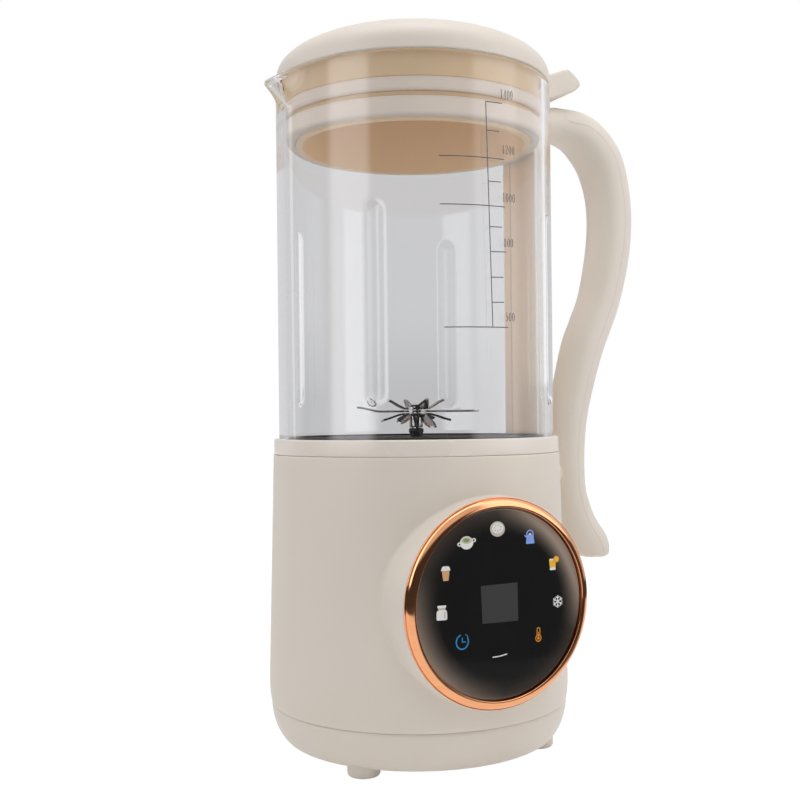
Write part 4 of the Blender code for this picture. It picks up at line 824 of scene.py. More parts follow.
def base_radius(height):
    """Straight from the belly up, drawn in by TOP_STEP; below it, drawn in with the square of the drop."""
    up = (height - BELLY_Z) / (SHELL_TOP - BELLY_Z)
    drop = ((BELLY_Z - height) / BELLY_RISE).clip(0)
    return BELLY_R - TOP_STEP * up.clip(0) - SEAM_STEP * drop ** 2


def even_with(low, high, count, extra):
    """Evenly spaced values with some exact ones worked in."""
    return np.unique(np.concatenate([np.linspace(low, high, count), np.ravel(extra)]))


window_angle = np.arcsin(WINDOW_X / BELLY_R)
angles = even_with(0, 2 * pi, 289, pi / 2 + window_angle * np.array([-1, 1]))[:-1]
edge = EDGE_R * np.array([0.02, 0.1, 0.3, 0.6, 1.0])
heights = even_with(SEAM_Z, SHELL_TOP, 60, np.concatenate([SEAM_Z + edge, SHELL_TOP - edge, WINDOW_Z]))
tall = heights[:, None]
fall = eased(tall - SEAM_Z, EDGE_R) + eased(SHELL_TOP - tall, EDGE_R)
round_r = base_radius(tall) - fall
outer = on_circle(round_r, angles, tall)
inner = outer - BASE_WALL * on_circle(1.0, angles, 0.0)
middle_a = (angles + np.roll(angles, -1)) / 2
middle_z = ((heights[1:] + heights[:-1]) / 2)[:, None]
in_window = (np.abs(middle_a - pi / 2) < window_angle) & (middle_z > WINDOW_Z[0]) & (middle_z < WINDOW_Z[1])
base_solids = [wall(outer, inner, keep=~in_window)]
print("shell wall: %d by %d points, window %.1f mm wide" % (*outer.shape[:2], 2 * WINDOW_X))

# %% [markdown]
# The round pod that holds the panel is a plain drum that lies on its side and runs into the upright one. The
# mould leaves a fillet of under a millimetre where they meet. A Boolean union would leave a hard crease there,
# so the pod is a grid of rings about its own axis instead. Each ring knows how far the upright drum's surface
# lies behind it, and the fillet is measured from that surface: f - sqrt(f^2 - (R + f - p)^2) at a distance p.

# %% Pod
POD_WALL = 2.6
POD_FILLET = 0.8
POD_EDGE = 0.7
LIP_WIDE = 6.9
POD_ROWS = 16
SKIRT_OUT, SKIRT_IN = 0.4, 0.5
pod_front = -shell_low[1]
print("pod front at y = %.1f mm" % -pod_front)

a = np.linspace(0, 2 * pi, TURNS, endpoint=False)


def pod_circle(distance):
    """The places x and z of a circle about the pod's axis."""
    return distance * np.cos(a), POD_Z + distance * np.sin(a)


def drum_depth(distance):
    """The drum's front surface at a distance from the pod's axis, as a length along -Y from the cup's axis."""
    x, z = pod_circle(distance)
    return np.sqrt(base_radius(z) ** 2 - x ** 2)


def ring_at(distance, depth):
    """One ring of the pod: a distance from its axis and a length along -Y."""
    x, z = pod_circle(distance)
    return np.stack([x, -depth + 0 * a, z], -1)


flank = pod_front - POD_EDGE - drum_depth(POD_R)
rows = [ring_at(POD_R - LIP_WIDE, pod_front)]
for t in np.linspace(0, pi / 2, 6):
    rows.append(ring_at(POD_R - POD_EDGE * (1 - np.sin(t)), pod_front - POD_EDGE * (1 - np.cos(t))))
for t in np.linspace(0.05, 1, POD_ROWS):
    rows.append(ring_at(POD_R, pod_front - POD_EDGE - t * (flank - POD_FILLET)))
for t in np.linspace(0.1, 1, 9) * pi / 2:
    distance = POD_R + POD_FILLET * (1 - np.cos(t))
    rows.append(ring_at(distance, drum_depth(distance) + POD_FILLET * (1 - np.sin(t))))
rows.append(ring_at(distance + SKIRT_OUT, drum_depth(distance + SKIRT_OUT) - SKIRT_IN))
rows.append(ring_at(POD_R - POD_WALL, drum_depth(POD_R - POD_WALL) - BASE_WALL / 2))
rows.append(ring_at(POD_R - POD_WALL, pod_front - POD_WALL))
rows.append(ring_at(POD_R - LIP_WIDE, pod_front - POD_WALL))
base_solids.append(solid(np.array(rows)))
piece("base_skin", base_solids, "cream_plastic", stands_for=["base_shell"], sharp=40)

# %% [markdown]
# A second moulding closes the base from below. Its side sweeps in under the machine along a superellipse, with
# a tongue that stands inside the shell and hides the joint. Ten radial slots let the fan's air out, and they
# are again faces that aren't kept. Four short feet stand through it.

# %% Bottom cover
COVER_WALL = 2.2
TOE_STEP = 8.8
COVER_FULLNESS = 1.75
COVER_TOP = SEAM_Z - 0.12
UNDERSIDE = cover_low[2]
SLOT_COUNT = 10
SLOT_HALF = radians(3.1)
SLOT_R = (20.5, 35.5)
seam_r = BELLY_R - SEAM_STEP
toe_r = seam_r - TOE_STEP
side = superellipse((seam_r, COVER_TOP), (toe_r, UNDERSIDE), COVER_FULLNESS, 28)
side[:, 0] -= eased(COVER_TOP - side[:, 1], 0.35)
floor_r = even_with(0, toe_r, 16, SLOT_R)[::-1][1:]
profile = np.concatenate([side, np.stack([floor_r, 0 * floor_r + UNDERSIDE], -1)])
slots = (np.arange(SLOT_COUNT) + 0.5) * 2 * pi / SLOT_COUNT
angles = even_with(0, 2 * pi, 217, (slots[:, None] + SLOT_HALF * np.array([-1, 1])))[:-1]
outer = on_circle(profile[:, :1], angles, profile[:, 1:])
thin = np.array([(seam_r - 2 * COVER_WALL) / seam_r] * 2 + [1])
inner = outer * thin
inner[..., 2] = np.maximum(outer[..., 2], UNDERSIDE + COVER_WALL)
middle_a = (angles + np.roll(angles, -1)) / 2
off_slot = np.abs((middle_a - slots[0] + pi / SLOT_COUNT) % (2 * pi / SLOT_COUNT) - pi / SLOT_COUNT)
middle_r = ((profile[1:, 0] + profile[:-1, 0]) / 2)[:, None]
in_slot = (off_slot < SLOT_HALF) & (middle_r > SLOT_R[0]) & (middle_r < SLOT_R[1])
cover_solids = [wall(outer, inner, keep=~in_slot)]
tongue_r = seam_r - BASE_WALL - 0.3
TONGUE_WALL, TONGUE_UP, TONGUE_DOWN = 1.4, 5, 2
tongue = [
    (tongue_r, COVER_TOP + TONGUE_UP), (tongue_r, COVER_TOP - TONGUE_DOWN),
    (tongue_r - TONGUE_WALL, COVER_TOP - TONGUE_DOWN), (tongue_r - TONGUE_WALL, COVER_TOP + TONGUE_UP),
]
cover_solids.append(rounded(tongue, 0.3))
piece("bottom_skin", cover_solids, "cream_plastic", stands_for=["bottom_cover"])

# %% [markdown]
# The feet are short pads with a well rounded lower edge. The collar is a turned ring round the foot of the
# glass: a wide rounding above, a fine seam to the shell below, and a part that reaches in under the glass.

# %% Feet and collar
for name in ("front_left_foot", "front_right_foot", "rear_left_foot", "rear_right_foot"):
    foot_low, foot_high = corners(name)
    spot, foot_r = (foot_low + foot_high) / 2, (foot_high[0] - foot_low[0]) / 2
    outline = softened([(0, foot_high[2]), (foot_r, foot_high[2]), (foot_r, 0), (0, 0)], [0, 0.4, 1.8, 0], 8)
    piece(name + "_skin", [solid(turned(outline, 72, spot[:2]))], "cream_plastic", stands_for=[name])

inside_r = GLASS_R + 0.3
collar = [
    (inside_r, collar_high[2]), (COLLAR_R, collar_high[2]), (COLLAR_R, SHELL_TOP + 0.12),
    (inside_r - 9, SHELL_TOP + 0.12), (inside_r - 9, collar_low[2] + 2), (inside_r, collar_low[2] + 2),
]
collar_form = rounded(collar, [0.4, 2.3, 0.4, 0, 0, 0])
piece("collar_skin", [collar_form], "collar_plastic", stands_for=["jar_collar"])

# %% [markdown]
# ## The panel
#
# The copper ring is a plated moulding: a thin outer edge and a broad band that is highest near the lens and rolls
# off outwards. The band turns through every angle, so the whole room runs round it, which is what makes a ring
# look plated. The black lens inside it is almost flat in the middle and falls away faster near its rim.

# %% Trim ring and panel lens
RING_FOOT = -ring_high[1]
RING_RISE = ring_high[1] - ring_low[1]
ring_hole = POD_R - 3.9
BAND_R = POD_R - 0.45
crest = (ring_hole + 0.42, RING_RISE)
outside = superellipse((BAND_R, 0.8), crest, 1.8, 30)
inside_edge = superellipse((ring_hole, RING_RISE - 0.35), crest, 2.0, 9)
ring_outline = np.concatenate([
    [(ring_hole, 0)], inside_edge, outside[:-1][::-1],
    softened([(BAND_R + 0.08, 0.68), (POD_R - 0.12, 0.7), (POD_R, 0.5), (POD_R, 0)], [0.04, 0.1, 0.1, 0]),
])
ring_form = turned(ring_outline) + [0, 0, RING_FOOT]
piece("copper_ring", [solid(facing_front(ring_form))], "copper_plating", stands_for=["trim_ring"], sharp=50)

PANEL_R = ring_hole - 0.3
PANEL_EDGE = 1.4
PANEL_CROWN = 1.0
CROWN_POWER = 3.0


def panel_rise(distance):
    """The lens stands PANEL_EDGE at its rim, and PANEL_CROWN times (1 - share^CROWN_POWER) more inside it."""
    share = (np.asarray(distance) / PANEL_R).clip(0, 1)
    return RING_FOOT + PANEL_EDGE + PANEL_CROWN * (1 - share ** CROWN_POWER)


share = np.sin(np.linspace(0, pi / 2, 48))
face = np.stack([PANEL_R * share, panel_rise(PANEL_R * share)], -1)
face[:, 1] -= eased(PANEL_R - face[:, 0], 0.5)
back = [(PANEL_R, RING_FOOT), (0, RING_FOOT)]
lens_form = facing_front(turned(np.concatenate([face, back])))
piece("panel_lens", [solid(lens_form)], "panel_glass", stands_for=["control_glass"])
print("panel %.1f mm across" % (2 * PANEL_R))

# %% [markdown]
# ## The cup
#
# A pressed glass cup has one wall that does three things: it is round, four flutes are pressed into it, and its
# rim runs out into a pouring lip that droops a little. The flutes and the lip are pushes on the radius, so the
# cup is one function of angle and height. The inner skin repeats the pushes a wall's thickness further in, as the
# plunger of the mould does. The rows and columns lie close together where a push changes and far apart
# elsewhere. Some rows hug the rims, because smooth shading would otherwise carry a rim's roundness along the
# wall and bend what lies behind.

# %% Glass cup
FLUTE_AT = np.radians([47, 135.5, 228, 317.5])
FLUTE_WIDE = 10.5
FLUTE_DEEP = 1.9
FLUTE_Z = (148.0, 231.0)
LIP_REACH = 8.5
LIP_FROM = 274.5
LIP_DROOP = 3.1
LIP_HALF = 17.0
GLASS_LOW, GLASS_TOP = glass_low[2], glass_high[2]
RIM_R = GLASS_WALL / 2


def push(angle, height):
    """How far the wall moves from its plain radius: flutes inwards, the pouring lip outwards.

    A flute is a cosine bump over the distance from its middle line, with round ends. Gives the flutes' push and
    the lip's share, which is the height above its start to the power 1.15 times a cosine bump about -X.
    """
    moved = 0.0
    for middle in FLUTE_AT:
        off = (angle - middle + pi) % (2 * pi) - pi
        past = (FLUTE_Z[0] + FLUTE_WIDE / 2 - height).clip(0) + (height - FLUTE_Z[1] + FLUTE_WIDE / 2).clip(0)
        share = (np.hypot(off * GLASS_R, past) / (FLUTE_WIDE / 2)).clip(0, 1)
        moved = moved - FLUTE_DEEP * (0.5 + 0.5 * np.cos(pi * share))
    off = (angle % (2 * pi)) - pi
    share = (np.abs(off) * GLASS_R / LIP_HALF).clip(0, 1)
    climb = ((height - LIP_FROM) / (GLASS_TOP - RIM_R - LIP_FROM)).clip(0, 1)
    return moved, climb ** 1.15 * (0.5 + 0.5 * np.cos(pi * share))


near = np.linspace(-1.1, 1.1, 25) * FLUTE_WIDE / 2 / GLASS_R
lip_near = np.linspace(-1.1, 1.1, 41) * LIP_HALF / GLASS_R
angles = even_with(0, 2 * pi, 181, np.concatenate([(FLUTE_AT[:, None] + near).ravel(), pi + lip_near]))[:-1]
angles = angles[np.append(np.diff(angles) > 0.002, True)]
round_z = np.add(FLUTE_Z, (FLUTE_WIDE / 2, -FLUTE_WIDE / 2))
ends = [end + np.linspace(-1, 1, 13) * FLUTE_WIDE / 1.8 for end in round_z]
ends.append(np.linspace(LIP_FROM, GLASS_TOP - RIM_R, 12))
ends += [GLASS_LOW + RIM_R + np.array([0.05, 0.3]), [GLASS_TOP - RIM_R - 0.1]]
body_z = even_with(GLASS_LOW + RIM_R, GLASS_TOP - RIM_R, 24, np.concatenate(ends))
rim_turn = np.linspace(0, pi, 15)[1:-1]
rim_in = RIM_R - RIM_R * np.cos(rim_turn)
rim_up = RIM_R * np.sin(rim_turn)
outline_in = np.concatenate([0 * body_z, rim_in, 0 * body_z + GLASS_WALL, rim_in[::-1]])
outline_z = np.concatenate([body_z, GLASS_TOP - RIM_R + rim_up, body_z[::-1], GLASS_LOW + RIM_R - rim_up])[:, None]
moved, lip = push(angles[None, :], outline_z)
radius = GLASS_R - outline_in[:, None] + moved + LIP_REACH * lip
cup = on_circle(radius, angles, outline_z - LIP_DROOP * lip)
piece("glass_cup", [solid(cup)], "clear_glass", stands_for=["jar_glass"], sharp=60)

# %% [markdown]
# ## The lid
#
# The dome is a shell: a short straight side, then a superellipse up to the crown. Its thumb tab is a thin wedge
# that reaches over the handle. The tab's outline is drawn once from the side and carried across its width, with
# its edges rounded at both ends.

# %% Lid dome and thumb tab
DOME_R = -lid_low[0]
DOME_LOW, DOME_TOP = lid_low[2], lid_high[2]
DOME_WALL = 2.3
DOME_SIDE = 3.0
DOME_FULLNESS = 2.2
TAB_HALF = 10.5
TAB_OUTLINE = [
    (58.0, 299.0), (60.0, 301.0), (66.9, 302.6), (70.5, 303.8), (74.2, 305.3), (76.8, 306.1), (80.2, 304.0),
    (83.2, 301.2), (83.7, 299.5), (82.5, 297.6), (79.6, 295.6), (73.4, 293.2), (66.1, 290.4), (60.2, 289.6),
    (57.6, 290.5),
]
shoulder, hollow_r = DOME_LOW + DOME_SIDE, DOME_R - DOME_WALL
dome_out = superellipse((DOME_R, shoulder), (0, DOME_TOP), DOME_FULLNESS, 56)
dome_in = superellipse((hollow_r, shoulder), (0, DOME_TOP - DOME_WALL), DOME_FULLNESS, 40)
foot = [(DOME_R, shoulder), (DOME_R, DOME_LOW), (hollow_r, DOME_LOW), (hollow_r, shoulder)]
foot = softened(foot, [0, 0.6, 0.3, 0], 6)
dome = turned(np.concatenate([dome_out[::-1], foot, dome_in]))


def slab(outline, half, edge, steps=7):
    """An outline of (x, z) carried across y from -half to half, its ends rounded, drawn in and capped."""
    outline = np.asarray(outline, float)
    turn = np.linspace(0, pi / 2, steps)
    back = turn[::-1]
    y = [-half + edge * (1 - np.cos(turn)), half * np.array([-0.5, 0, 0.5]), half - edge * (1 - np.cos(back))]
    y = np.concatenate(y)
    inset = np.concatenate([edge * (1 - np.sin(turn)), [0, 0, 0], edge * (1 - np.sin(back))])
    along = np.roll(outline, -1, axis=0) - np.roll(outline, 1, axis=0)
    normal = np.stack([along[:, 1], -along[:, 0]], -1) / np.linalg.norm(along, axis=1, keepdims=True)
    x, z = outline.T
    if x @ np.roll(z, -1) - z @ np.roll(x, -1) < 0:
        normal = -normal
    rows = outline[None] - normal[None] * inset[:, None, None]
    grid = np.stack([rows[..., 0], y[:, None] + 0 * rows[..., 0], rows[..., 1]], -1)
    middle = grid.mean(axis=1, keepdims=True) + 0 * grid
    return solid(np.concatenate([middle[:1], grid, middle[-1:]]), wrap_rows=False)


tab = slab(softened(TAB_OUTLINE, 1.4), TAB_HALF, 1.3)
piece("lid_dome", [solid(dome), tab], "cream_plastic", "lid", stands_for=["lid_cover"])

# %% [markdown]
# Below the dome hangs the plug, which fills the cup's mouth. It is a turned cup of its own, open downwards, with
# a flange on the glass's rim and two silicone bands in grooves. The bands are soft, so each bulges a little
# between its edges, and the lower one is broader and ends just above the plug's rim.

# %% Plug and seals
plug_low, plug_high = corners("lid_plug")
upper_low, upper_high = corners("upper_lid_seal")
lower_low, lower_high = corners("lower_lid_seal")
SEAL_R = upper_high[0]
PLUG_BORE = 49.2
NECK_R = 52.0
PLUG_R = 55.6
PLUG_RIM = 51.9
BAND_FOOT = lower_low[2] + 0.8
plug = [
    (0, DOME_LOW - 0.2), (PLUG_BORE, DOME_LOW - 0.2), (PLUG_BORE, plug_low[2]), (PLUG_RIM, plug_low[2]),
    (PLUG_RIM, BAND_FOOT - 0.3), (NECK_R, BAND_FOOT - 0.3), (NECK_R, lower_high[2] + 0.2),
    (PLUG_R - 1, lower_high[2] + 0.3), (PLUG_R - 1, upper_low[2] - 0.1), (NECK_R + 2, upper_low[2]),
    (NECK_R + 2, upper_high[2]), (PLUG_R, upper_high[2] + 0.2), (PLUG_R, DOME_LOW),
    (plug_high[0], DOME_LOW + 0.3), (plug_high[0], plug_high[2]), (0, plug_high[2]),
]
piece("plug_skin", [rounded(plug, 0.5)], "plug_plastic", "lid", stands_for=["lid_plug"])



def band(name, foot, top, back_r, bulge, flatness, steps, node_name):
    """A silicone band. Its outside lies at SEAL_R - bulge (2t - 1)^flatness as t goes from foot to top."""
    t = np.linspace(0, 1, steps)
    outside = np.stack([SEAL_R - bulge * (2 * t - 1) ** flatness, foot + (top - foot) * t], -1)
    profile = np.concatenate([outside, [(back_r, top), (back_r, foot)]])
    piece(name, [solid(turned(profile))], "silicone", "lid", stands_for=[node_name])


band("upper_band", upper_low[2], upper_high[2], NECK_R + 1.5, 0.7, 6, 13, "upper_lid_seal")
band("lower_band", BAND_FOOT, lower_high[2], NECK_R + 0.2, 0.9, 8, 25, "lower_lid_seal")

# %% [markdown]
# ## The handle
#
# The grip is a smooth curve in the plane y = 0, and its cross-section an ellipse that changes along it. Real
# grips are two mouldings, an inner frame and an outer cover, and the line where they meet is what makes it look
# like one. Both are carried along the same path here: the cover takes the part of each ellipse beyond a chord,
# and the frame the rest. The chord slides inwards near the top, where the cover hooks over the arm.

# %% Path of the grip
# Each row: x, z and the half height of the section there
GRIP_PATH = np.array([
    (61.3, 281.0, 8.3), (68.0, 281.2, 8.3), (76.0, 281.3, 8.4), (87.1, 279.0, 10.0), (95.3, 273.3, 10.8),
    (101.6, 264.7, 10.9), (105.6, 251.2, 10.5), (106.7, 236.5, 10.4), (104.8, 219.4, 10.3), (100.0, 199.9, 9.9),
    (94.7, 187.3, 9.85), (89.7, 175.8, 9.8), (84.9, 159.9, 9.4), (81.4, 146.0, 9.2), (79.8, 133.0, 9.0),
    (79.4, 120.0, 8.9), (80.4, 106.9, 8.9), (84.7, 94.4, 8.9), (88.6, 87.6, 9.1), (91.9, 82.8, 9.35),
    (93.0, 79.3, 9.3), (92.9, 75.2, 8.2),
])
GRIP_ROWS = 220
SECTION_TALL = 1.1


def curved(points, count):
    """A Catmull-Rom curve through points: each span weighs its four nearest points by cubics of its share t."""
    ends = np.concatenate([2 * points[:1] - points[1:2], points, 2 * points[-1:] - points[-2:-1]])
    place = np.linspace(0, len(points) - 1.000001, count)
    i = place.astype(int)
    t = (place - i)[:, None]
    p0, p1, p2, p3 = ends[i], ends[i + 1], ends[i + 2], ends[i + 3]
    square, cube = 2 * p0 - 5 * p1 + 4 * p2 - p3, 3 * p1 - p0 - 3 * p2 + p3
    return 0.5 * (2 * p1 + (p2 - p0) * t + square * t ** 2 + cube * t ** 3)


def run_of(path):
    """The distance along a path to each of its points."""
    return np.append(0, np.cumsum(np.linalg.norm(np.diff(path[:, :2], axis=0), axis=1)))


def evened(path, count):
    """The same path with its points at even distances."""
    steps = run_of(path)
    at = np.linspace(0, steps[-1], count)
    return np.stack([np.interp(at, steps, path[:, k]) for k in range(path.shape[1])], -1)


grip = evened(curved(GRIP_PATH, 900), GRIP_ROWS)
ahead = np.gradient(grip[:, :2], axis=0)
ahead /= np.linalg.norm(ahead, axis=1, keepdims=True)
outward = np.stack([-ahead[:, 1], ahead[:, 0]], -1)
print("grip path: %.0f mm long" % run_of(grip)[-1])

# %% [markdown]
# Each half of the grip is one closed sweep. A section is an arc of the ellipse, closed by the chord, and the
# chord's distance from the middle comes from a short table near the arm and is constant below it. The free ends
# shrink as a quarter circle, so the tail is round, and a gap of a seventh of a millimetre leaves the seam.

# %% Frame and cover of the handle
SEAM_GAP = 0.07
HOOK_LOW, CHORD_BELOW, CHORD_MOST = 270, 1.2, 0.93
TAIL_ROUND, HOOK_ROUND = 2.4, 0.8
HOOK_X = (72.4, 74.8, 75.9, 76.1, 77.2, 81.0, 86.0)
HOOK_CHORD = (7.0, 5.7, 3.9, 1.9, 0.8, 0.4, 1.2)
ARC_STEPS = 28


def section_of(half, chord, cover):
    """The part of an ellipse beyond a chord. n = a cos t runs outwards, y = 1.1 a sin t across, t from b to -b.

    b = arccos(chord / a) for the cover, and the frame takes the rest of the turn. The chord closes both.
    """
    b = np.arccos((chord / half).clip(-0.999, 0.999))
    share = np.linspace(-1, 1, ARC_STEPS)
    t = b[:, None] * share if cover else pi + (pi - b)[:, None] * share
    n, y = half[:, None] * np.cos(t), SECTION_TALL * half[:, None] * np.sin(t)
    return n, y


def swept(rows, n, y):
    """Carries sections along the path and closes both ends with a point."""
    x = grip[rows, 0, None] + outward[rows, 0, None] * n
    z = grip[rows, 1, None] + outward[rows, 1, None] * n
    grid = np.stack([x, y, z], -1)
    first, last = (grid[k].mean(axis=0) + 0 * grid[:1] for k in (0, -1))
    return solid(np.concatenate([first, grid, last]), wrap_rows=False)


def rounded_ends(rows, start, end):
    """A share for each row that falls off as a quarter circle within a distance of both ends."""
    along = run_of(grip[rows])
    share = np.ones(len(rows))
    for distance, reach in ((along, start), (along[-1] - along, end)):
        if reach:
            near = (1 - distance / reach).clip(0, 1)
            share = share * np.sqrt(1 - near ** 2).clip(0.02)
    return share


def grip_half(name, rows, start_round, chord, cover, node_name):
    """Sweeps one half of the grip over some rows of the path, with both its ends rounded."""
    share = rounded_ends(rows, start_round, TAIL_ROUND)[:, None]
    n, y = section_of(grip[rows, 2], chord[rows], cover)
    piece(name, [swept(rows, n * share, y * share)], "cream_plastic", stands_for=[node_name])


seam = np.interp(grip[:, 0], HOOK_X, HOOK_CHORD)
seam[grip[:, 1] < HOOK_LOW] = CHORD_BELOW
seam = np.minimum(seam, CHORD_MOST * grip[:, 2])
cover_rows = np.flatnonzero((grip[:, 0] > HOOK_X[0]) | (grip[:, 1] < HOOK_LOW))
grip_half("grip_frame", np.arange(GRIP_ROWS), 0, seam - SEAM_GAP, False, "handle_frame")
grip_half("grip_cover", cover_rows, HOOK_ROUND, seam + SEAM_GAP, True, "handle_cover")

# %% [markdown]
# The strip is a curved plate on the glass, with all its edges rounded, and a thin tan sheet behind it shows
# through the glass as painted shade. The boss is a short turned stud on its side, a little narrower towards the
# handle, which it ties to the base.

# %% Strip behind the handle, boss
strip_low, strip_high = corners("handle_strip")
STRIP_HALF = radians(15)
STRIP_EDGE, STRIP_SIDE = 0.8, 0.9
STRIP_GAP, SHADE_SHEET_THICK = 0.3, 0.12
strip_a = np.linspace(-1, 1, 41) * STRIP_HALF
near_ends = np.concatenate([strip_low[2] + edge, strip_high[2] - edge])
strip_z = even_with(strip_low[2], strip_high[2], 40, near_ends)[:, None]
fall = eased(strip_z - strip_low[2], STRIP_EDGE) + eased(strip_high[2] - strip_z, STRIP_EDGE)
fall = fall + eased((STRIP_HALF - np.abs(strip_a)) * COLLAR_R, STRIP_SIDE)
outer = on_circle(strip_high[0] - fall, strip_a, strip_z)
inner = on_circle(GLASS_R + STRIP_GAP, strip_a, strip_z)
piece("spine_strip", [wall(outer, inner, wrap_columns=False)], "cream_plastic", stands_for=["handle_strip"])
# Painted shade: a thin tan sheet on the strip's inner side, seen through the glass.
shade_sheet = inner[2:-2, 1:-1]
piece("spine_shade_sheet", [wall(shade_sheet, shade_sheet * (1 - SHADE_SHEET_THICK / GLASS_R), wrap_columns=False)], "painted_shade_lining")

boss_low, boss_high = corners("handle_boss")
BOSS_R = (boss_high[2] - boss_low[2]) / 2
BOSS_Z = (boss_high[2] + boss_low[2]) / 2
boss_x = np.linspace(boss_low[0] + 0.2, boss_high[0], 24)
bulged = BOSS_R * (1 - 0.25 * ((boss_x - boss_x[0]) / np.ptp(boss_x)) ** 2)
boss = np.concatenate([[(0, boss_x[0])], np.stack([bulged, boss_x], -1), [(0, boss_x[-1])]])
boss = turned(boss, 64)
boss = np.stack([boss[..., 2], boss[..., 1], BOSS_Z + boss[..., 0]], -1)
piece("boss_skin", [solid(boss, wrap_rows=False)], "cream_plastic", stands_for=["handle_boss"])

# %% [markdown]
# ## The plate and the knife
#
# The heating plate closes the cup from below: a turned steel disc with a shallow groove near its edge and a
# hole for the shaft's seal, with a black rubber bead round its edge that seals it to the glass. From the side the
# two show as a dark line, and from above they are the whole floor.

# %% Heating plate and shaft seal
plate_low, plate_high = corners("heating_plate")
seal_low, seal_high = corners("shaft_seal")
PLATE_R = plate_high[0]
HOLE_R = seal_high[0] + 0.3
top_z, low_z = plate_high[2], plate_low[2]
plate = [
    (HOLE_R, low_z), (PLATE_R, low_z), (PLATE_R, top_z), (PLATE_R - 3.0, top_z), (PLATE_R - 3.8, top_z - 0.5),
    (PLATE_R - 6.0, top_z - 0.5), (PLATE_R - 6.8, top_z - 0.1), (9.5, top_z - 0.1), (8.5, top_z), (HOLE_R, top_z),
]
piece("plate_skin", [rounded(plate, 0.35)], "plate_steel", stands_for=["heating_plate"])
SEAL_OUT = seal_high[0]
seal_top = seal_high[2]
seal = [
    (0, seal_low[2]), (SEAL_OUT - 0.3, seal_low[2]), (SEAL_OUT - 0.3, seal_top - 1.9), (SEAL_OUT, seal_top - 1.8),
    (SEAL_OUT, seal_top - 0.5), (SEAL_OUT - 0.6, seal_top), (0, seal_top),
]
seal_form = rounded(seal, [0, 0.2, 0.1, 0.2, 0.2, 0.2, 0], 64)
piece("seal_skin", [seal_form], "dark_rubber", stands_for=["shaft_seal"])
BEAD_R, BEAD_Z = (54.2, 56.6), (top_z - 0.1, top_z + 0.7)
bead = [(BEAD_R[0], BEAD_Z[0]), (BEAD_R[1], BEAD_Z[0]), (BEAD_R[1], BEAD_Z[1]), (BEAD_R[0], BEAD_Z[1])]
piece("plate_bead", [rounded(bead, 0.35)], "dark_rubber")

# %% [markdown]
# A knife like this is stamped from sheet in three plates, each with its arms bent up, down or left flat, and
# then ground along the arms. One function lofts an arm: rows along its length, and a six-sided section whose
# thin corners are the ground edges. The width and the lift come from short tables of shares, as on the plates
# themselves.

# %% Blades
# Each row of an arm: share of its length, half width as a share of the hub's radius, share of its lift
LONG_ARM = [(0.12, 0.40, 0.0), (0.45, 0.40, 0.0), (0.74, 0.34, 0.0), (0.88, 0.26, 0.0), (1.0, 0.07, 0.0)]
CURLED_ARM = [
    (0.12, 0.40, 0.0), (0.45, 0.40, 0.0), (0.64, 0.36, 0.0), (0.80, 0.30, 0.50), (0.94, 0.24, 0.95),
    (1.0, 0.14, 1.0),
]
RISING_ARM = [(0.22, 0.42, 0.0), (0.42, 0.42, 0.0), (0.60, 0.38, 0.28), (0.85, 0.27, 0.78), (1.0, 0.18, 1.0)]
BROAD_ARM = [(0.22, 0.60, 0.0), (0.42, 0.60, 0.0), (0.60, 0.50, 0.28), (0.85, 0.28, 0.78), (1.0, 0.16, 1.0)]
POINTED_ARM = [(0.22, 0.40, 0.0), (0.36, 0.40, 0.0), (0.50, 0.38, 0.15), (0.80, 0.32, 0.70), (1.0, 0.05, 1.0)]
PADDLE_ARM = [
    (0.22, 0.40, 0.0), (0.36, 0.38, 0.0), (0.50, 0.38, 0.18), (0.75, 0.46, 0.62), (0.92, 0.40, 0.90),
    (1.0, 0.16, 1.0),
]
WIDE_ARM = [
    (0.22, 0.40, 0.0), (0.36, 0.38, 0.0), (0.50, 0.42, 0.16), (0.75, 0.58, 0.60), (0.93, 0.50, 0.92),
    (1.0, 0.25, 1.0),
]
BLADE_THICK = 0.9
HUB_R = 5.8
GROUND_SHARE = 0.42
EDGE_THICK = 0.12


def arm(table, reach, lift, height, angle, pitch=0.0, steps=36):
    """One blade arm. Along it, width and lift follow the table; across it, a six-sided section thins to its edges.

    pitch turns the section about the arm's length, more towards the tip, so that each arm stirs as it cuts.
    """
    share, width, climb = np.array(table).T
    at = np.linspace(share[0], 1, steps)
    half, rise = np.interp(at, share, width) * HUB_R, np.interp(at, share, climb) * lift
    rise = np.convolve(np.pad(rise, 2, mode="edge"), np.ones(5) / 5, mode="valid")
    ground = half * GROUND_SHARE
    thick = np.full_like(half, BLADE_THICK / 2)
    u = np.stack([-half, -half + ground, half - ground, half, half - ground, -half + ground], -1)
    v = np.stack([0 * half + EDGE_THICK, thick, thick, 0 * half + EDGE_THICK, -thick, -thick], -1)
    v[:, 0] = v[:, 3] = 0
    turn = pitch * ((at - 0.35) / 0.65).clip(0, 1)[:, None]
    u, v = u * np.cos(turn) - v * np.sin(turn), u * np.sin(turn) + v * np.cos(turn)
    along = (at * reach)[:, None] + 0 * u
    x, y = along * np.cos(angle) - u * np.sin(angle), along * np.sin(angle) + u * np.cos(angle)
    grid = np.stack([x, y, height + rise[:, None] + v], -1)
    first, last = (grid[k:k + 1].mean(axis=1, keepdims=True) + 0 * grid[:1] for k in (0, steps - 1))
    return solid(np.concatenate([first, grid, last]), wrap_rows=False)


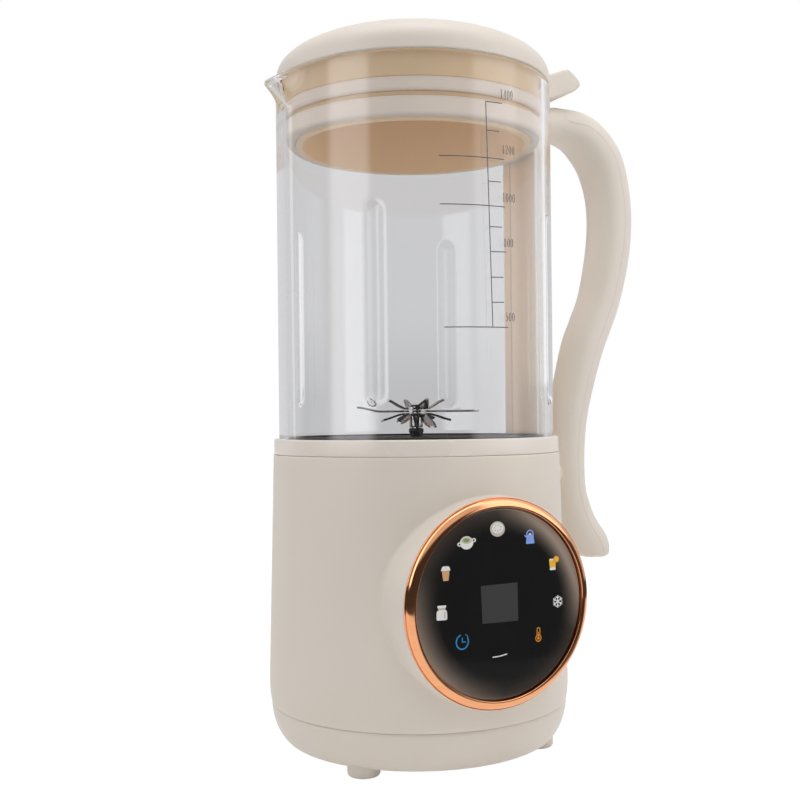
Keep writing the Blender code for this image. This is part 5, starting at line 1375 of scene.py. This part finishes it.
def knife(name, height, arms, node_name):
    """A plate of the knife: a flat round hub and its arms, given as table, reach, lift, degrees and pitch."""
    low, high = height - BLADE_THICK / 2, height + BLADE_THICK / 2
    solids = [rounded([(0, low), (HUB_R, low), (HUB_R, high), (0, high)], [0, 0.2, 0.2, 0], 72)]
    for table, reach, lift, degrees, pitch in arms:
        solids.append(arm(table, reach, lift, height, radians(degrees), radians(pitch)))
    piece(name, solids, "knife_steel", "rotor", stands_for=[node_name], sharp=12)


long_z = corners("long_blade")[0][2] + BLADE_THICK / 2
rise_z = corners("rising_blade")[0][2] + BLADE_THICK / 2
fall_z = corners("falling_blade")[1][2] - BLADE_THICK / 2
print("plates at %.1f, %.1f and %.1f mm" % (fall_z, long_z, rise_z))
knife("long_knife", long_z, [(LONG_ARM, 27.9, 0.0, -27, 4), (CURLED_ARM, 26.2, 1.9, 153, 4)], "long_blade")
rising = [(BROAD_ARM if k == 3 else RISING_ARM, 13.4, 3.9, -6 + 90 * k, 8) for k in range(4)]
knife("rising_knife", rise_z, rising, "rising_blade")
FALLING = [
    (PADDLE_ARM, 15.0, 2.2), (PADDLE_ARM, 15.0, 2.2), (POINTED_ARM, 15.6, 2.9), (PADDLE_ARM, 14.6, 4.0),
    (WIDE_ARM, 14.2, 6.0), (POINTED_ARM, 15.6, 2.9),
]
falling = [(table, reach, -drop, 33 + 60 * k, -9) for k, (table, reach, drop) in enumerate(FALLING)]
knife("falling_knife", fall_z, falling, "falling_blade")

# %% [markdown]
# A smooth sleeve carries the plates, and a low hexagonal nut with a domed top holds them down. The
# nut's six flats are a cosine rule: the distance to a flat at an angle a off its middle is r / cos a.

# %% Sleeve and nut
sleeve_low, sleeve_high = corners("knife_spacer")
sleeve_r = sleeve_high[0]
foot, top = sleeve_low[2], sleeve_high[2]
sleeve = softened([(0, foot), (sleeve_r, foot), (sleeve_r, top), (0, top)], [0, 0.3, 0.3, 0])
sleeve_form = solid(turned(sleeve, 64), wrap_rows=False)
piece("sleeve_skin", [sleeve_form], "knife_steel", "rotor", stands_for=["knife_spacer"])

nut_low, nut_high = corners("knife_nut")
nut_r = nut_high[0]
NUT_TALL = 1.1
around = np.linspace(0, 2 * pi, 96, endpoint=False)
flat = nut_r * np.cos(pi / 6) / np.cos((around + pi / 6) % (pi / 3) - pi / 6)
rings = [(0.0, 0.0), (1.0, 0.0), (1.0, 0.62), (0.96, 0.80), (0.86, 0.90), (0.66, 0.97), (0.45, 1.0), (0.0, 1.0)]
nut = []
for share, climb in rings:
    blend = np.minimum(flat, nut_r * (1.02 if share == 1.0 else 0.93))
    z = nut_low[2] + NUT_TALL * climb
    nut.append(on_circle(share * blend, around, z))
nut_form = solid(np.array(nut), wrap_rows=False)
piece("nut_skin", [nut_form], "knife_steel", "rotor", stands_for=["knife_nut"], sharp=25)

# %% [markdown]
# ## Print on the glass
#
# The fill scale is screen print: a film of ink a few hundredths of a millimetre thick. An image texture would
# blur close up, and a Boolean would scar the glass, so the print is real geometry here. Flat shapes are drawn
# as arc length along the glass and height, given the film's thickness, and wrapped round the cylinder. The lines
# of the real scale climb a little to the right, so each mark has a slope of its own.

# %% Flat shapes
INK_THICK = 0.05


def bar(start, end, wide):
    """A straight stroke as a strip of short quads: points along it, half the width to each side."""
    start, end = np.array(start, float), np.array(end, float)
    along = (end - start) / np.linalg.norm(end - start)
    side = np.array([-along[1], along[0]]) * wide / 2
    count = max(2, int(np.linalg.norm(end - start) / 1.2) + 2)
    middle = start + (end - start) * np.linspace(0, 1, count)[:, None]
    return np.concatenate([middle + side, middle - side]), grid_faces(2, count, False, False)


def loop(outline, hole=None):
    """A filled outline as a fan round its middle, or the band between it and a hole of as many points."""
    outline = np.asarray(outline, float)
    if hole is None:
        hole = outline * 0 + outline.mean(axis=0)
    return np.concatenate([outline, np.asarray(hole, float)]), grid_faces(2, len(outline), False, True)


def oval(x, z, half_x, half_z, start=0.0, end=360.0, count=40):
    """Points of an ellipse between two angles; a full one doesn't repeat its first point."""
    a = np.radians(np.linspace(start, end, count, endpoint=end - start < 360))
    return np.stack([x + half_x * np.cos(a), z + half_z * np.sin(a)], -1)


def film(shape, surface, lift=0.0, thick=INK_THICK):
    """Gives a flat shape the thickness of a film on a surface."""
    flat, faces = shape
    flat, number = np.unique(np.round(flat, 4), axis=0, return_inverse=True)
    faces = number.reshape(-1)[faces]
    a, b, c = (flat[faces[:, k]] for k in (0, 1, 2))
    d = flat[faces[:, 3]]
    area = (c - a)[:, 0] * (d - b)[:, 1] - (c - a)[:, 1] * (d - b)[:, 0]
    faces = np.where((area < 0)[:, None], faces[:, ::-1], faces)
    return skins(surface(flat, lift + thick), surface(flat, lift), faces)


def on_glass(flat, lift):
    """Arc length and height to the cup's outside: the angle is the arc over the radius, from the front."""
    a, r = -pi / 2 + flat[:, 0] / GLASS_R, GLASS_R + 0.01 + lift
    return on_circle(r, a, flat[:, 1])


def on_panel(flat, lift):
    """Across and up on the lens, whose front stands out by panel_rise."""
    out = panel_rise(np.hypot(flat[:, 0], flat[:, 1] - POD_Z)) + 0.01 + lift
    return np.stack([flat[:, 0], -out, flat[:, 1]], -1)


# %% [markdown]
# The scale's numbers are drawn stroke by stroke, because they are narrow and their strokes run from thick to thin.
# Each stroke is a smooth curve through a few points, and each point has its own width.

# %% Numbers
DIGIT_STEP = 1.83


def mirrored(points):
    """The same stroke on the other side of a digit's middle line, x = 0.65."""
    return [(1.3 - x, z, wide) for x, z, wide in points]


ROUND = [(0.65, 3.60, 0.13), (1.06, 2.95, 0.28), (1.16, 1.82, 0.36), (1.06, 0.70, 0.28), (0.65, 0.05, 0.13)]
TOP_BOW = [(0.65, 3.60, 0.13), (1.00, 2.85, 0.28), (0.65, 1.98, 0.16)]
LOW_BOW = [(0.65, 1.98, 0.16), (1.12, 0.98, 0.30), (0.65, 0.05, 0.13)]
# Each digit's strokes, as points of x, z and width
DIGITS = {
    "0": [ROUND, mirrored(ROUND)],
    "1": [
        [(0.68, 3.6, 0.32), (0.68, 0.08, 0.32)], [(0.68, 3.5, 0.14), (0.30, 3.12, 0.10)],
        [(0.28, 0.07, 0.13), (1.08, 0.07, 0.13)],
    ],
    "2": [
        [
            (0.20, 2.85, 0.20), (0.36, 3.42, 0.22), (0.76, 3.56, 0.20), (1.07, 3.05, 0.32), (0.98, 2.25, 0.30),
            (0.52, 1.15, 0.18), (0.18, 0.20, 0.14),
        ],
        [(0.14, 0.16, 0.30), (1.08, 0.16, 0.30)], [(1.08, 0.16, 0.16), (1.16, 0.75, 0.10)],
    ],
    "4": [
        [(0.90, 3.58, 0.30), (0.90, 0.08, 0.30)], [(0.88, 3.50, 0.13), (0.08, 1.12, 0.13)],
        [(0.06, 1.08, 0.15), (1.22, 1.08, 0.15)], [(0.60, 0.07, 0.12), (1.18, 0.07, 0.12)],
    ],
    "5": [
        [(0.28, 3.48, 0.24), (1.08, 3.48, 0.24)], [(0.30, 3.48, 0.13), (0.24, 1.98, 0.13)],
        [
            (0.24, 1.98, 0.13), (0.68, 2.25, 0.18), (1.10, 1.62, 0.34), (1.04, 0.58, 0.30), (0.58, 0.06, 0.16),
            (0.14, 0.48, 0.18),
        ],
    ],
    "8": [TOP_BOW, mirrored(TOP_BOW), LOW_BOW, mirrored(LOW_BOW)],
}
STROKE_STEPS = 14


def number(text, left, foot, tilt):
    """A number's strokes as films, from its lower left corner and climbing by a small slope.

    A stroke runs along a smooth curve through its points (x, z, width), half the width to each side.
    """
    films = []
    for place, digit in enumerate(text):
        for layer, points in enumerate(DIGITS[digit]):
            line = curved(np.array(points), STROKE_STEPS)
            along = np.gradient(line[:, :2], axis=0)
            side = np.stack([-along[:, 1], along[:, 0]], -1) / np.linalg.norm(along, axis=1, keepdims=True)
            side = side * line[:, 2:] / 2
            flat = np.concatenate([line[:, :2] + side, line[:, :2] - side]) + [left + place * DIGIT_STEP, foot]
            flat[:, 1] += tilt * (flat[:, 0] - left)
            films.append(film((flat, grid_faces(2, STROKE_STEPS, False, False)), on_glass, 0.004 * layer))
    return films


# %% Fill scale
SPINE = ((1.66, 269.0), (3.96, 179.4))
# Each mark: its value, its height at the spine, its left end where it passes the spine, its right end, its slope
MARKS = [
    (500, 179.4, -17.04, 11.8, 0.018), (600, 189.3, None, 9.7, 0.040), (700, 199.3, None, 9.4, 0.039),
    (800, 209.5, None, 11.2, 0.038), (900, 219.4, None, 9.1, 0.030), (1000, 227.7, -18.3, 10.7, 0.021),
    (1100, 237.4, None, 8.7, 0.038), (1200, 246.7, -18.5, 10.4, 0.023), (1300, 257.6, None, 8.1, 0.042),
    (1400, 269.0, None, 9.6, 0.043),
]
# Each number: its lower left corner
NUMBERS = {500: (10.5, 181.9), 800: (10.0, 211.7), 1000: (9.5, 229.9), 1200: (9.5, 249.2), 1400: (8.8, 271.4)}
SPINE_WIDE, MARK_WIDE = 0.40, 0.38
print_solids = [film(bar(*SPINE, SPINE_WIDE), on_glass)]
for value, height, left, right, tilt in MARKS:
    spine_x = np.interp(height, [SPINE[1][1], SPINE[0][1]], [SPINE[1][0], SPINE[0][0]])
    left = spine_x if left is None else left
    ends = [(x, height + tilt * (x - spine_x)) for x in (left, right)]
    print_solids.append(film(bar(*ends, MARK_WIDE), on_glass, 0.02))
    if value in NUMBERS:
        print_solids += number(str(value), *NUMBERS[value], tilt)
piece("fill_scale", print_solids, "scale_ink")

# %% [markdown]
# ## Signs on the panel
#
# The panel has a plain display window and nine small coloured signs round it. They are plain pictograms: grain,
# a bowl, a kettle, a glass, a frost star, a thermometer, a clock, a jar and a cup. Each is a few filled
# outlines, laid on the lens one film above the other, so that no two films share a face.

# %% Signs
ink_films = {name: [] for name in INKS}


def draw(ink, shape, at=(0, 0), layer=0):
    """Lays a flat shape about a sign's middle on the lens, as a film of one ink in a layer."""
    flat, faces = shape
    ink_films[ink].append(film((flat + np.array(at), faces), on_panel, layer * 0.03))


def arch(outside, inside_line):
    """The open band between two lines of as many points."""
    return np.concatenate([outside, inside_line]), grid_faces(2, len(outside), False, False)


def patch(*points):
    """A filled outline with slightly rounded corners, in points about the sign's middle."""
    return loop(softened(points, 0.25, 4))


draw("display_glass", loop([(-9.51, 78.79), (-8.89, 64.15), (7.25, 64.0), (7.06, 78.9)]))
draw("white_ink", bar((-4.45, 50.85), (-1.15, 50.95), 0.42))
draw("white_ink", bar((-1.25, 50.95), (2.05, 51.5), 0.42), layer=1)

grain = (-1.46, 100.19)
draw("grain_ink", loop(oval(0, 0, 3.3, 2.95)), grain)
draw("white_ink", loop(oval(0.1, 0.35, 2.5, 2.1)), grain, 1)
for turn in 0.9 * np.arange(7) + 0.3:
    draw("grain_ink", loop(oval(1.5 * np.cos(turn), 0.4 + 1.25 * np.sin(turn), 0.42, 0.26, count=12)), grain, 2)

bowl = (-15.27, 95.76)
draw("white_ink", loop(oval(0, -0.1, 2.85, 2.5)), bowl)
for x, z in ((-3.1, -0.55), (3.1, 0.75)):
    draw("white_ink", loop(oval(x, z, 0.95, 0.8), oval(x, z, 0.45, 0.35)), bowl, 1)
draw("grain_ink", loop(oval(0.1, 0.8, 2.3, 1.25)), bowl, 1)
draw("green_ink", loop(oval(-0.1, 0.85, 1.35, 0.75)), bowl, 2)

kettle = (13.29, 96.23)
draw("blue_ink", patch((-1.5, 0.9), (-1.9, -2.6), (2.1, -2.6), (1.7, 0.9)), kettle)
draw("blue_ink", patch((-1.4, -0.4), (-2.7, 0.6), (-2.2, 1.0), (-1.2, 0.3)), kettle, 1)
draw("blue_ink", arch(oval(0.1, 0.9, 1.75, 2.0, 0, 180, 24), oval(0.1, 0.9, 1.25, 1.5, 0, 180, 24)), kettle)
draw("white_ink", patch((-0.7, 0.9), (0.1, 1.7), (0.9, 0.9)), kettle, 1)

tumbler = (24.05, 85.02)
draw("yellow_ink", patch((-1.9, 2.0), (-1.6, -1.5), (1.2, -1.5), (1.4, 2.0)), tumbler)
draw("white_ink", patch((-1.6, -1.5), (-1.55, -2.5), (1.15, -2.5), (1.2, -1.5)), tumbler)
draw("white_ink", patch((-1.75, 1.9), (-1.72, 1.3), (0.2, 1.3), (0.2, 1.9)), tumbler, 1)
draw("orange_ink", loop(oval(1.6, 1.7, 1.35, 1.35)), tumbler, 1)
draw("yellow_ink", loop(oval(1.6, 1.7, 1.0, 1.0)), tumbler, 2)

star = (26.0, 69.83)
for k in range(3):
    way = np.array([np.sin(radians(60 * k)), np.cos(radians(60 * k))])
    side = np.array([-way[1], way[0]])
    draw("white_ink", bar(-2.5 * way, 2.5 * way, 0.40), star, k)
    for end in (-1, 1):
        for turn in (-1, 1):
            root = end * 1.3 * way
            draw("white_ink", bar(root, root + end * 0.75 * way + turn * 0.85 * side, 0.34), star, k + 1)

gauge = (16.66, 57.78)
draw("orange_ink", loop(oval(0, -1.6, 1.45, 1.45), oval(0, -1.6, 1.05, 1.05)), gauge)
draw("orange_ink", loop(oval(0, -1.6, 0.6, 0.6)), gauge)
tube = [np.array([(r, -0.6), *oval(0, 1.9, r, r, 0, 180, 12), (-r, -0.6)]) for r in (0.85, 0.5)]
draw("orange_ink", arch(*tube), gauge, 1)
draw("orange_ink", bar((0, -1.4), (0, 0.9), 0.3), gauge, 2)

clock = (-17.76, 58.1)
draw("cyan_ink", arch(oval(0, 0, 2.85, 3.0, 105, 395, 48), oval(0, 0, 2.35, 2.5, 105, 395, 48)), clock)
draw("cyan_ink", bar((0, 1.7), (0, -0.2), 0.38), clock)
draw("cyan_ink", bar((-0.15, -0.05), (1.5, -0.05), 0.38), clock, 1)
for x, z in ((1.6, 2.6), (2.3, 2.0)):
    draw("cyan_ink", loop(oval(x, z, 0.26, 0.26, count=12)), clock)

jar = (-26.4, 69.89)
glass_jar = softened([(-2.1, 1.0), (-2.3, -2.8), (2.3, -2.8), (2.1, 1.0)], [0.9, 0.8, 0.8, 0.9], 6)
draw("white_ink", loop(glass_jar), jar)
draw("grain_ink", patch((-1.5, 1.0), (-1.6, 2.7), (1.6, 2.7), (1.5, 1.0)), jar)
draw("white_ink", patch((-1.8, 1.9), (-1.8, 2.8), (1.8, 2.8), (1.8, 1.9)), jar, 1)
draw("grain_ink", patch((0.9, 0.4), (0.9, -2.2), (1.6, -2.2), (1.6, 0.4)), jar, 1)

cup_sign = (-24.51, 84.64)
draw("tan_ink", patch((-1.6, 0.9), (-1.1, -2.8), (1.1, -2.8), (1.6, 0.9)), cup_sign)
cup_lid = softened([(-2.0, 1.0), (2.0, 1.0), (1.5, 2.7), (-1.5, 2.7)], [0.3, 0.3, 0.9, 0.9], 6)
draw("white_ink", loop(cup_lid), cup_sign, 1)

piece("display_window", ink_films.pop("display_glass"), "display_glass")
for ink, films in ink_films.items():
    if films:
        piece("sign_" + ink.split("_")[0], films, ink)

# %% [markdown]
# ## What stays as measured
#
# The rest of the frame keeps its shapes: the power inlet, the boards, the motor and all that the walls hide.
# Each takes the finish of its own slot in the record.

# %% Finishes for the measured parts
for part in frame["record"]["subparts"]:
    made = frame["nodes"][part["node"]]
    made.data.materials.clear()
    made.data.materials.append(paint[part["material_slot"]])
